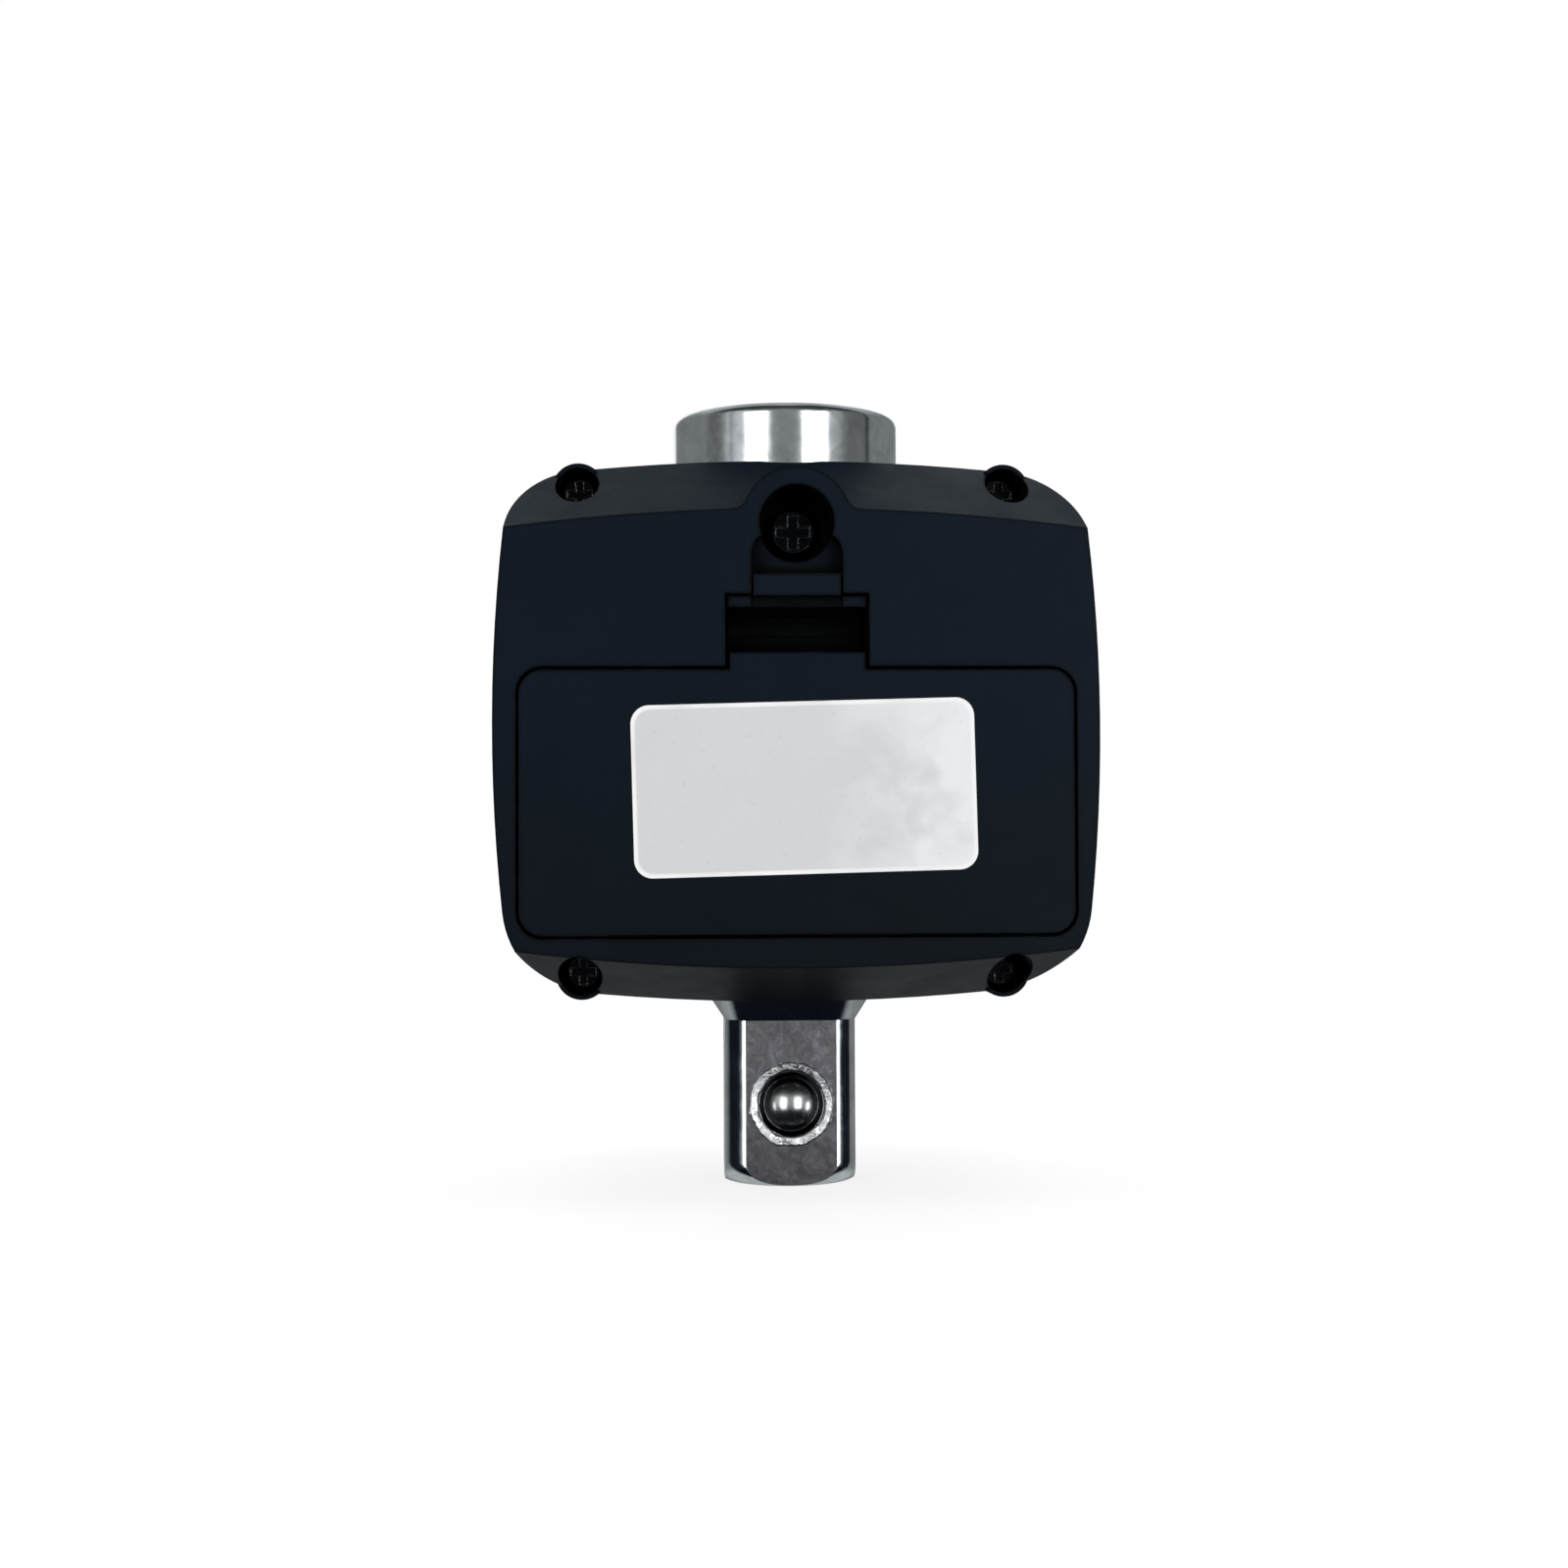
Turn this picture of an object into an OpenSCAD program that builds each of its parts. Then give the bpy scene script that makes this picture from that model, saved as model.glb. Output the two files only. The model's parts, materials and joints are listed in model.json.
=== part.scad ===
// Digital torque adapter: a battery powered meter body clamped round a half inch drive shaft.
// Z runs up the shaft from the tip of the male square, the battery side faces -Y
// and the display side faces +Y.

/* [Body shell] */
// Width of the body across its bowed sides
body_w = 55.4; // [54.8:0.1:60]
// Height of the body along the shaft
body_h = 51.6; // [51:0.1:56]
// Distance from the shaft axis to the flat back
rear_depth = 21.4; // [21:0.1:25]
// Distance from the shaft axis to the front face
front_depth = 22.4; // [22:0.1:26]
// Radius of the bowed sides
side_bow_r = 160; // [130:1:300]
// Radius of the bowed creases at the top and bottom of the back
end_bow_r = 200; // [150:1:400]
// Rounding of the two upper corners
corner_top_r = 6.8; // [5:0.1:8]
// Rounding of the two lower corners
corner_low_r = 9; // [6:0.1:10]
// Height of the bevel strip along the top of the back
bevel_top = 6; // [4:0.1:6.4]
// Height of the bevel strip along the bottom of the back
bevel_low = 3.7; // [2.5:0.1:4.5]
// How far both bevel strips run towards the front
bevel_depth = 10.4; // [8:0.1:12]
// Edge rounding of the front face
front_round = 3; // [2.2:0.1:4]
// Wall of both housing halves
wall = 2; // [1.6:0.1:2.2]

/* [Drive shaft] */
// Width across the flats of the male square, half an inch
drive_sq = 12.7; // [12.6:0.05:12.8]
// Width across the turned corners of the male square
drive_corner_d = 15.5; // [15:0.1:16.5]
// Length of the flats from the tip
drive_len = 16.1; // [15:0.1:18]
// Rounding of the drive's end
drive_end_r = 2.2; // [1.5:0.1:3]
// Bare neck between the flats and the underside of the body
neck_show = 2.15; // [1.5:0.05:4]
// Diameter of the lower collar, inside the body
low_collar_d = 18.4; // [17:0.1:20]
// Diameter of the sensing section
sense_d = 13.2; // [12:0.1:13.4]
// Diameter of the upper collar with the female square
head_d = 22.3; // [21.5:0.1:23]
// Length of the upper collar above the body
head_out = 5.75; // [3:0.05:8]
// Width of the female square
socket_sq = 12.8; // [12.75:0.05:13]
// Depth of the female square
socket_deep = 16.5; // [15:0.1:18]
// Diameter of the detent ball
ball_d = 5.5; // [4.6:0.1:5.6]
// How far the ball stands out of its flat
ball_proud = 1; // [0.6:0.05:1.2]
// Height of the ball above the tip
ball_up = 7.96; // [6:0.1:9]

/* [Battery bay] */
// Diameter of an AAA cell
cell_d = 10.5; // [10.1:0.1:10.5]
// End of the bay to the widest point of the bowed side
bay_side = 3.2; // [3.2:0.05:3.4]
// Room for a contact spring
spring_room = 3.7; // [3:0.1:4]
// Thickness of the battery cover
cover_t = 1.8; // [1.5:0.1:2]
// How far the cover laps over the edge of the bay
cover_lap = 0.8; // [0.6:0.05:1]
// Underside of the body to the lower edge of the cover
cover_up = 6.75; // [6.6:0.05:7.4]
// Corner rounding of the cover
cover_corner_r = 2.15; // [1.5:0.05:3]
// Width of the cover's lug, where the latch hangs
lug_w = 12.34; // [11:0.02:13]
// Height of the lug above the cover's upper edge
lug_h = 1.58; // [1.2:0.02:1.8]
// Width inside the U of the latch spring
latch_gap = 4.19; // [3.6:0.01:4.6]
// Thickness of the latch spring
latch_t = 1; // [0.8:0.05:1.1]
// Width of the thumb tab
tab_w = 8; // [7:0.1:8.6]
// Height of the thumb tab
tab_h = 2; // [1.6:0.1:2.4]

/* [Label] */
// Width of the bare label
label_w = 31.3; // [20:0.1:40]
// Height of the bare label
label_h = 15.7; // [10:0.1:18]
// Tilt of the label as it was stuck on, in degrees
label_tilt = 1.4; // [0:0.1:3]

/* [Screws] */
// Corner screw wells to the widest points of the sides
screw_side = 7.7; // [7.3:0.1:8.7]
// Corner screw wells to the top and underside of the body
screw_inset = 2.9; // [2.6:0.05:3.4]
// Diameter of a corner screw's well
well_d = 4.13; // [3.9:0.01:4.5]
// Diameter of a corner screw's head
screw_head_d = 3.6; // [3:0.1:3.7]
// Diameter of the well over the centre screw
boss_well_d = 6.9; // [6:0.1:7.4]
// Diameter of the raised boss round that well
boss_d = 10.2; // [9.6:0.1:11]
// Top of the body to the centre screw
boss_down = 7.25; // [6.6:0.05:7.6]
// Diameter of the centre screw's head
boss_head_d = 4.8; // [4:0.1:5.4]

/* [Display and keys] */
// Width of the display window
window_w = 38; // [34:0.5:38]
// Height of the display window
window_h = 19; // [16:0.5:19]
// Thickness of the clear lens
lens_t = 1.2; // [0.8:0.1:1.4]
// Thickness of the circuit board
pcb_t = 1.6; // [1:0.1:1.8]
// Distance from key to key as a share of the body's width
key_pitch_share = 0.1534; // [0.151:0.0002:0.158]
// Width of a key as a share of the distance from key to key
key_w_share = 0.706; // [0.59:0.002:0.75]
// Height of a key
key_h = 8.5; // [7:0.1:9]
// How far a key stands out of the front
key_proud = 1; // [0.6:0.1:1.4]
// Travel of a key
key_travel = 0.8; // [0.5:0.1:0.8]
// Diameter of an indicator light
led_d = 3; // [2.6:0.1:3.2]

/* [Hidden] */

// Overrun of a cut past the face that it opens
cut = 0.5;
// Hair's breadth by which roundings stand outside the outline that they trim
skin = 0.01;
// Gap between parts that seat on each other without touching
seat_gap = 0.3;
// Gap of a part that slides or turns in a hole
run_gap = 0.05;
// Gap between the shaft and the plastic round it
shaft_gap = 0.25;
// Gap between the battery cover and its opening
cover_gap = 0.3;
fine = 96;
big_fine = 720;

// Heights along the shaft
body_z0 = drive_len + neck_show;
body_z1 = body_z0 + body_h;
mid_z = (body_z0 + body_z1) / 2;
shaft_top = body_z1 + head_out;
boss_z = body_z1 - boss_down;

// Bowed outline: centre and radius of each of its four arcs
top_r = end_bow_r + bevel_top;
low_r = end_bow_r + bevel_low;
side_c = [side_bow_r - body_w / 2, mid_z];
top_c = [0, body_z1 - top_r];
low_c = [0, body_z0 + low_r];

// Battery bay, worked out from the cells that it holds
cell_gap = 0.5;
contact_t = 0.4;
bay_wall = 1.2;
bay_floor_t = 1.2;
cell_r = cell_d / 2;
bay_hw = body_w / 2 - bay_side;
cell_len = 2 * (bay_hw - contact_t) - spring_room;
bay_h = 2 * cell_d + 3 * cell_gap;
cover_z0 = body_z0 + cover_up;
bay_z0 = cover_z0 + cover_lap;
bay_z1 = bay_z0 + bay_h;
cover_z1 = bay_z1 + cover_lap;
cover_mid = (cover_z0 + cover_z1) / 2;
cover_hw = bay_hw + cover_lap;
cover_in_y = -rear_depth + cover_t;
ledge_y = cover_in_y + seat_gap / 3;
cell_y = cover_in_y + cell_gap + cell_r;
bay_floor_y = cell_y + cell_r + seat_gap;
cell_up_z = cover_mid + (cell_d + cell_gap) / 2;
cell_low_z = cover_mid - (cell_d + cell_gap) / 2;
cell_nub_d = 3.8;
cell_nub_h = 0.8;

// Latch: a U spring that hangs from the cover's lug and comes back up as the thumb tab
lug_z1 = cover_z1 + lug_h;
latch_r = latch_gap / 2;
latch_zc = lug_z1 + latch_r;
latch_leg = 1.2;
latch_yc = cover_in_y + latch_leg;
latch_out = lug_z1 + latch_gap + latch_t;
latch_pivot_y = latch_yc + latch_r + latch_t / 2;
latch_side_gap = 0.2;
notch_gap = 0.2;
notch_z1 = latch_out + notch_gap;
notch_hw = lug_w / 2 + 2 * latch_side_gap;
shoulder_hw = notch_hw - latch_side_gap;
shoulder_drop = 0.7;
tab_t = 1;
tab_drop = 0.1;
tab_block_h = 1.05;
ridge_up = 1.15;
ridge_r = 0.14;
lip_t = 1.5;
pocket_rise = 1.15;
pocket_z1 = notch_z1 + pocket_rise;
pocket_y = latch_pivot_y + latch_t / 2 + 2 * seat_gap;
pocket_wall = 1.2;
scoop_deep = 2.4;
scoop_hw = tab_w / 2 + latch_side_gap;
scoop_round = 2;
scoop_floor_t = 1.6;
scoop_over = 2.55;
scoop_z1 = boss_z - boss_well_d / 2 + scoop_over;

// Toes at the foot of the cover, which hook under the back wall
toe_x = 15;
toe_w = 6;
toe_t = 1.2;
toe_down = 1.4;
toe_up = 1.4;
toe_y0 = -rear_depth + wall + seat_gap;
toe_slot_down = 0.4;
rib_x = 12;
rib_t = 1.2;
rib_hh = 3.2;
rib_deep = 2.4;

// Screw bosses
well_r = well_d / 2;
screw_x = body_w / 2 - screw_side;
screw_top_out = 0.25;
screw_top_x = screw_x + screw_top_out;
screw_low_z = body_z0 + screw_inset - 0.25 * seat_gap;
screw_top_z = body_z1 - screw_inset;
screw_seat_y = -7;
screw_head_h = 1.6;
screw_floor_t = 1.6;
screw_hole_d = 2.5;
screw_shank_d = 2.2;
screw_pilot_d = 2.1;
screw_reach = 6.5;
screw_column_wall = 1.25;
bump_wall = 0.42;
bump_start = 9.6;
bump_fade = 1.5;
boss_seat_gap = shaft_gap;
boss_seat_t = 1.6;
head_r = head_d / 2;
boss_seat_y = -head_r - boss_seat_gap - boss_seat_t;
boss_head_h = 1.2;
boss_shank_d = 2.6;
boss_hole_d = 3;
boss_tap_deep = 4.2;
boss_tip_gap = 0.5;
boss_ogee_r = 1.2;

// Shaft details
drive_hw = drive_sq / 2;
corner_r = drive_corner_d / 2;
low_collar_r = low_collar_d / 2;
sense_r = sense_d / 2;
neck_len = 3.6;
ramp_slope = 0.68;
low_collar_drop = 2.4;
low_collar_top = cover_z0 - low_collar_drop;
shoulder_h = 1.8;
head_low = bay_z1 + bay_wall + 0.5 * wall;
head_round = 0.95;
lead_in_r = 9.3;
lead_in_h = 0.9;
detent_dimple_r = 2.6;
detent_dimple_deep = 1.1;
sense_flat = 0.7;
sense_flat_h = 20;
ball_r = ball_d / 2;
ball_y = -(drive_hw + ball_proud - ball_r);
ball_hole_deep = 6.5;
stake_r = 3.95;
stake_deep = 0.16;
stake_in_r = 3.3;
stake_cone_deep = 0.7;
ball_wire = 0.5;
ball_coil_r = 1.75;
gauge_w = 4.6;
gauge_h = 8;
gauge_t = 0.12;
gauge_up = cover_mid;
gauge_wire_r = 0.3;
gauge_wire_step = 1.1;

// Front side, from the face inwards
front_in_y = front_depth - wall;
window_down = 7.35;
window_z = body_z1 - window_down - window_h / 2;
lens_lap = 1.5;
lens_corner_r = 2;
lens_gap = 0.1;
lcd_over = 0.25;
// Display and backlight share the depth left between the shaft's head and the front wall
display_room = front_in_y - 2 * seat_gap - pcb_t - head_r - shaft_gap;
lcd_share = 0.353;
back_share = 0.353;
lcd_t = lcd_share * display_room;
back_t = back_share * display_room;
lcd_y1 = front_in_y - seat_gap;
lcd_y0 = lcd_y1 - lcd_t;
pcb_y1 = lcd_y0 - back_t - seat_gap;
pcb_y0 = pcb_y1 - pcb_t;
pcb_wall_gap = 2.3;
pcb_hw = body_w / 2 - wall - pcb_wall_gap;
pcb_side_gap = 0.6;
pcb_z0 = screw_low_z + well_r + screw_column_wall + pcb_side_gap;
pcb_z1 = screw_top_z - well_r - screw_column_wall - pcb_side_gap;
pcb_corner_r = 2.5;
led_x = 12;
led_down = 4.7;
led_z = window_z - window_h / 2 - led_down;
post_d = 3.6;
post_in = 2;
post_low_drop = 0.6;
post_to_screw = 7;
post_low_x = pcb_hw - post_in;
post_low_z = led_z - post_low_drop;
post_up_x = screw_x - post_to_screw;
post_up_z = window_z + window_h / 2 + lcd_over + seat_gap + post_d / 2;
pcb_tab_hw = screw_x - well_r - screw_column_wall - pcb_side_gap;
pcb_tab_z1 = post_up_z + post_in;
post_pilot_d = 1.5;
pcb_hole_d = 2;
pcb_screw_d = 1.6;
pcb_screw_head_d = 3.2;
pcb_screw_head_h = 1.1;
pcb_screw_len = 4.5;
zebra_w = 1.8;
zebra_gap = 0.4;
backlight_h = window_h - 2 * zebra_w;
key_up = 11.6;
key_z = body_z0 + key_up;
key_pitch = key_pitch_share * body_w;
key_w = key_w_share * key_pitch;
key_corner_r = 2.4;
key_flange = 0.8;
key_flange_t = 1;
key_stem_d = 3.8;
key_hole_gap = 0.3;
key_foot_gap = 0.2;
mat_share = 0.244;
mat_t = mat_share * (key_flange_y() - pcb_y1);
mat_skirt_t = 0.45;
mat_dome_r = 3.1;
mat_h = 9.6;
led_proud = 0.5;
led_lead_r = 0.25;
led_lead_gap = 2.54;
led_base_t = 1;
led_flange = 0.3;
led_stand_share = 0.365;
buzzer_d = 9;
buzzer_h = 4.2;
buzzer_in = 8.9;
buzzer_x = buzzer_in - pcb_hw;
buzzer_z = cover_mid;
buzzer_hole_d = 1.8;
chip_in = 9.4;
chip_x = pcb_hw - chip_in;
chip_w = 10;
chip_t = 1.5;
amp_w = 5;
amp_h = 6.2;
bulkhead_t = 1.6;
bulkhead_up = 5.6;
bulkhead_low = 2.6;
saddle_in = 5.5;
saddle_hw = screw_x - saddle_in;
rim_h = 1.2;
rim_t = 0.85;
rim_gap = 0.1;
contact_w = 8;
coil_wire = 0.5;
coil_wide_r = 2.9;
coil_tip_r = 1.9;
coil_turns = 3.5;
tail_w = 2;
tail_len = 3;
lead_wire_r = 0.7;
lead_bend = 1.5;

// Where two circles meet, on the left of the line from p to q for side = 1
function meet(p, rp, q, rq, side) =
  let (d = norm(q - p), u = (q - p) / d, a = (rp * rp - rq * rq + d * d) / (2 * d))
  p + a * u + side * sqrt(rp * rp - a * a) * [-u[1], u[0]];

// Corner circles of the right side, each tangent to the side arc and an end arc
corners = [
  [meet([-side_c[0], side_c[1]], side_bow_r - corner_top_r,
        top_c, top_r - corner_top_r, 1), corner_top_r, top_c],
  [meet([-side_c[0], side_c[1]], side_bow_r - corner_low_r,
        low_c, low_r - corner_low_r, -1), corner_low_r, low_c]
];

// Four-sided figure that covers what a corner's rounding takes away
function wedge(c, r, end_c) =
  let (a = c - [-side_c[0], side_c[1]], b = c - end_c,
       ua = a / norm(a), ub = b / norm(b), far = 3 * r)
  [c, c + far * ua, c + far * (ua + ub), c + far * ub];

// Solid between two depths, drawn in the plane of the back as X and Z
module slab(y0, y1) {
  translate([0, y1, 0]) rotate([90, 0, 0]) linear_extrude(height = y1 - y0) children();
}

// Round bar or hole along Y
module bar(x, z, d, y0, y1) {
  translate([x, y1, z]) rotate([90, 0, 0]) cylinder(d = d, h = y1 - y0, $fn = fine);
}

// Cone along Y, with its diameter at y0 and at y1
module taper(x, z, d0, d1, y0, y1) {
  translate([x, y1, z]) rotate([90, 0, 0]) cylinder(d1 = d1, d2 = d0, h = y1 - y0, $fn = fine);
}

// Box from its lowest to its highest corner
module block(p, q) {
  translate(p) cube(q - p);
}

// Outline turned about an axis along Y through c, drawn as radius and Y
module turned(c, fn) {
  translate([c[0], 0, c[1]]) rotate([-90, 0, 0]) rotate_extrude($fn = fn) children();
}

module both_sides() {
  children();
  mirror([1, 0, 0]) children();
}

module rounded(w, h, r) {
  square([w - 2 * r, h], center = true);
  square([w, h - 2 * r], center = true);
  for (x = [-1, 1], z = [-1, 1])
    translate([x * (w / 2 - r), z * (h / 2 - r)]) circle(r = r, $fn = fine);
}

// Bowed outline of the body, drawn in by the inset
module outline(inset) {
  difference() {
    intersection() {
      translate([-side_c[0], side_c[1]]) circle(r = side_bow_r - inset, $fn = big_fine);
      translate(side_c) circle(r = side_bow_r - inset, $fn = big_fine);
      translate(top_c) circle(r = top_r - inset, $fn = big_fine);
      translate(low_c) circle(r = low_r - inset, $fn = big_fine);
    }
    both_sides_flat() for (k = corners) polygon(wedge(k[0], k[1], k[2]));
  }
  both_sides_flat() for (k = corners) intersection() {
    translate(k[0]) circle(r = k[1] - inset, $fn = fine);
    polygon(wedge(k[0], k[1], k[2]));
  }
}

module both_sides_flat() {
  children();
  mirror([1, 0]) children();
}

// Half outline of a disc with a rounded front edge, as radius and Y
module edge_profile(r, y1, round_r) {
  square([r - round_r, y1]);
  square([r, y1 - round_r]);
  translate([r - round_r, y1 - round_r]) circle(r = round_r, $fn = fine / 2);
}

// Front half of the body as a solid, with its front edge rounded all round
module front_block() {
  difference() {
    intersection() {
      slab(0, front_depth + cut) outline(0);
      turned([-side_c[0], side_c[1]], big_fine)
        edge_profile(side_bow_r + skin, front_depth, front_round);
      turned(side_c, big_fine) edge_profile(side_bow_r + skin, front_depth, front_round);
      turned(top_c, big_fine) edge_profile(top_r + skin, front_depth, front_round);
      turned(low_c, big_fine) edge_profile(low_r + skin, front_depth, front_round);
    }
    both_sides() for (k = corners) difference() {
      slab(front_depth - front_round, front_depth + 2 * cut) polygon(wedge(k[0], k[1], k[2]));
      turned(k[0], fine) edge_profile(k[1] + 2 * skin, front_depth + skin, front_round);
    }
  }
}

// Bevelled disc whose rim slopes back from the flat rear face, as radius and Y
module bevel_disc(c, rise, inset) {
  slope_len = norm([rise, bevel_depth]);
  r0 = end_bow_r - inset * (slope_len - rise) / bevel_depth;
  r1 = end_bow_r + rise - inset;
  y0 = -rear_depth + inset;
  y1 = y0 + (r1 - r0) * bevel_depth / rise;
  turned(c, big_fine) polygon([[0, y0], [r0, y0], [r1, y1], [r1, cut], [0, cut]]);
}

// Rear half of the body as a solid, with the bevel strips along its top and bottom
module rear_block(inset, y1) {
  intersection() {
    slab(-rear_depth + inset, y1) outline(inset);
    bevel_disc(top_c, bevel_top, inset);
    bevel_disc(low_c, bevel_low, inset);
  }
}

module at_corner_screws() {
  for (s = [-1, 1]) {
    translate([s * screw_x, 0, screw_low_z]) children();
    translate([s * screw_top_x, 0, screw_top_z]) children();
  }
}

// Keyhole shaped pad that carries the centre screw's well out over the top bevel
module boss_pad() {
  crease_z = body_z1 - bevel_top;
  rise = crease_z + boss_ogee_r - boss_z;
  ogee_x = sqrt(pow(boss_d / 2 + boss_ogee_r, 2) - rise * rise);
  translate([0, boss_z]) {
    circle(d = boss_d, $fn = fine);
    difference() {
      polygon([[0, 0], [ogee_x, rise], [ogee_x, -boss_ogee_r], [-ogee_x, -boss_ogee_r], [-ogee_x, rise]]);
      for (x = [-ogee_x, ogee_x]) translate([x, rise]) circle(r = boss_ogee_r, $fn = fine);
    }
  }
}

// Finger scoop between the centre screw's well and the thumb tab
module scoop(grow) {
  hw = scoop_hw + grow;
  r = scoop_round + grow;
  z1 = scoop_z1 + grow;
  translate([-hw, notch_z1 - cut]) square([2 * hw, z1 - r - notch_z1 + cut]);
  translate([r - hw, notch_z1]) square([2 * (hw - r), z1 - notch_z1]);
  for (x = [r - hw, hw - r]) translate([x, z1 - r]) circle(r = r, $fn = fine);
}

module cover_outline(grow) {
  translate([0, cover_mid])
    rounded(2 * (cover_hw + grow), cover_z1 - cover_z0 + 2 * grow, cover_corner_r + grow);
}

module rear_shell() {
  difference() {
    rear_block(0, 0);
    rear_block(wall, cut);
  }
  intersection() {
    rear_block(0, 0);
    union() {
      block([-bay_hw - bay_wall, -rear_depth + wall / 2, bay_z0 - bay_wall],
            [bay_hw + bay_wall, bay_floor_y + bay_floor_t, bay_z1 + bay_wall]);
      block([-notch_hw - pocket_wall, -rear_depth + wall / 2, bay_z1],
            [notch_hw + pocket_wall, pocket_y + pocket_wall, pocket_z1 + pocket_wall]);
      slab(-rear_depth + wall / 2, -rear_depth + scoop_deep + scoop_floor_t) scoop(pocket_wall);
      bar(0, boss_z, boss_d, -rear_depth, boss_seat_y + boss_seat_t);
      at_corner_screws() bar(0, 0, 2 * (well_r + screw_column_wall), -rear_depth, 0);
      block([-saddle_hw, -low_collar_r - bulkhead_low, body_z0 + wall / 2],
            [saddle_hw, 0, body_z0 + wall + bulkhead_low]);
      block([-saddle_hw, pocket_y + pocket_wall / 2, pocket_z1 - bulkhead_t],
            [saddle_hw, 0, pocket_z1]);
    }
  }
  slab(-rear_depth, -rear_depth + bevel_depth) boss_pad();
  at_corner_screws() bar(0, 0, 2 * (well_r + bump_wall), -rear_depth + bump_start, 0);
}

module rear_cuts() {
  // Opening of the battery cover and the bay under it
  slab(-rear_depth - cut, ledge_y) cover_outline(cover_gap);
  block([-bay_hw, ledge_y - cut, bay_z0], [bay_hw, bay_floor_y, bay_z1]);
  // Notch and pocket of the latch, and the finger scoop above them
  block([-notch_hw, -rear_depth - cut, cover_z1], [notch_hw, -rear_depth + lip_t + cut, notch_z1]);
  block([-notch_hw, -rear_depth + lip_t, bay_z1 + bay_wall], [notch_hw, pocket_y, pocket_z1]);
  slab(-rear_depth - cut, -rear_depth + scoop_deep) scoop(0);
  // Slots of the two toes
  for (x = [-toe_x, toe_x])
    block([x - toe_w / 2 - seat_gap, ledge_y - cut, cover_z0 - toe_down - toe_slot_down],
          [x + toe_w / 2 + seat_gap, toe_y0 + toe_t + 2 * seat_gap, bay_z0 + cut]);
  // Wells and holes of the screws
  bar(0, boss_z, boss_well_d, -rear_depth - cut, boss_seat_y);
  bar(0, boss_z, boss_hole_d, boss_seat_y - cut, 0);
  at_corner_screws() {
    bar(0, 0, well_d, -rear_depth - cut, screw_seat_y);
    bar(0, 0, screw_hole_d, screw_seat_y - cut, cut);
    bar(0, 0, screw_head_d, screw_seat_y + screw_floor_t, cut);
  }
  shaft_room();
  // Step round the inside of the rim, which takes the front half's tongue
  slab(-rim_h - rim_gap, cut) outline(wall - rim_t - rim_gap);
}

// Room for the shaft through both halves
module shaft_room() {
  translate([0, 0, body_z0 - cut])
    cylinder(r = low_collar_r + shaft_gap, h = low_collar_top + shoulder_h - body_z0 + cut, $fn = fine);
  translate([0, 0, head_low - shaft_gap])
    cylinder(r = head_r + shaft_gap, h = body_z1 - head_low + 2 * cut, $fn = fine);
}

module rear_housing() {
  color([0.07, 0.07, 0.08]) difference() {
    rear_shell();
    rear_cuts();
  }
}

module at_posts() {
  for (s = [-1, 1]) {
    translate([s * post_low_x, 0, post_low_z]) children();
    translate([s * post_up_x, 0, post_up_z]) children();
  }
}

module at_keys() {
  for (i = [-2:2]) translate([i * key_pitch, 0, key_z]) children();
}

module front_shell() {
  difference() {
    front_block();
    slab(-cut, front_in_y) outline(wall);
  }
  intersection() {
    front_block();
    union() {
      at_corner_screws() bar(0, 0, 2 * (well_r + screw_column_wall), 0, front_in_y + wall / 2);
      at_posts() bar(0, 0, post_d, pcb_y1, front_in_y + wall / 2);
      block([-body_w / 2, 0, pocket_z1 - bulkhead_t],
            [body_w / 2, pcb_y0 - seat_gap, pocket_z1]);
      block([-saddle_hw, 0, body_z0 + wall / 2],
            [saddle_hw, low_collar_r + bulkhead_low, body_z0 + wall + bulkhead_low]);
    }
  }
  at_corner_screws() {
    bar(0, 0, 2 * (well_r + bump_wall), 0, front_depth - front_round - bump_fade);
    taper(0, 0, 2 * (well_r + bump_wall), 2 * well_r - 2 * bump_wall,
          front_depth - front_round - bump_fade, front_depth - front_round);
  }
  // Tongue that drops into the rear half's rim
  difference() {
    slab(-rim_h, cut) outline(wall - rim_t);
    slab(-rim_h - cut, 2 * cut) outline(wall);
    at_corner_screws() bar(0, 0, 2 * (well_r + screw_column_wall + seat_gap), -rim_h - cut, 0);
    block([-saddle_hw - seat_gap, -rim_h - cut, body_z0],
          [saddle_hw + seat_gap, 0, body_z0 + wall + bulkhead_low]);
    block([-body_w / 2, -rim_h - cut, bay_z0 - bay_wall - seat_gap],
          [body_w / 2, 0, bay_z0]);
  }
}

module front_housing() {
  color([0.08, 0.08, 0.09]) difference() {
    front_shell();
    shaft_room();
    // Window and the recess of its lens
    slab(front_in_y - cut, front_depth + cut) translate([0, window_z])
      rounded(window_w, window_h, lens_corner_r - lens_lap / 2);
    slab(front_depth - lens_t - lens_gap, front_depth + cut) translate([0, window_z])
      rounded(window_w + 2 * lens_lap, window_h + 2 * lens_lap, lens_corner_r);
    // Keys, lights and the buzzer's sound hole
    at_keys() slab(front_in_y - cut, front_depth + cut)
      rounded(key_w + 2 * key_hole_gap, key_h + 2 * key_hole_gap, key_corner_r + key_hole_gap);
    both_sides() bar(led_x, led_z, led_d + 2 * seat_gap, front_in_y - cut, front_depth + cut);
    bar(0, led_z, buzzer_hole_d, front_in_y - cut, front_depth + cut);
    // Pilot holes of the screws
    at_corner_screws() bar(0, 0, screw_pilot_d, -cut, screw_reach + 2 * seat_gap);
    at_posts() bar(0, 0, post_pilot_d, pcb_y1 - cut, front_in_y);
  }
}

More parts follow.
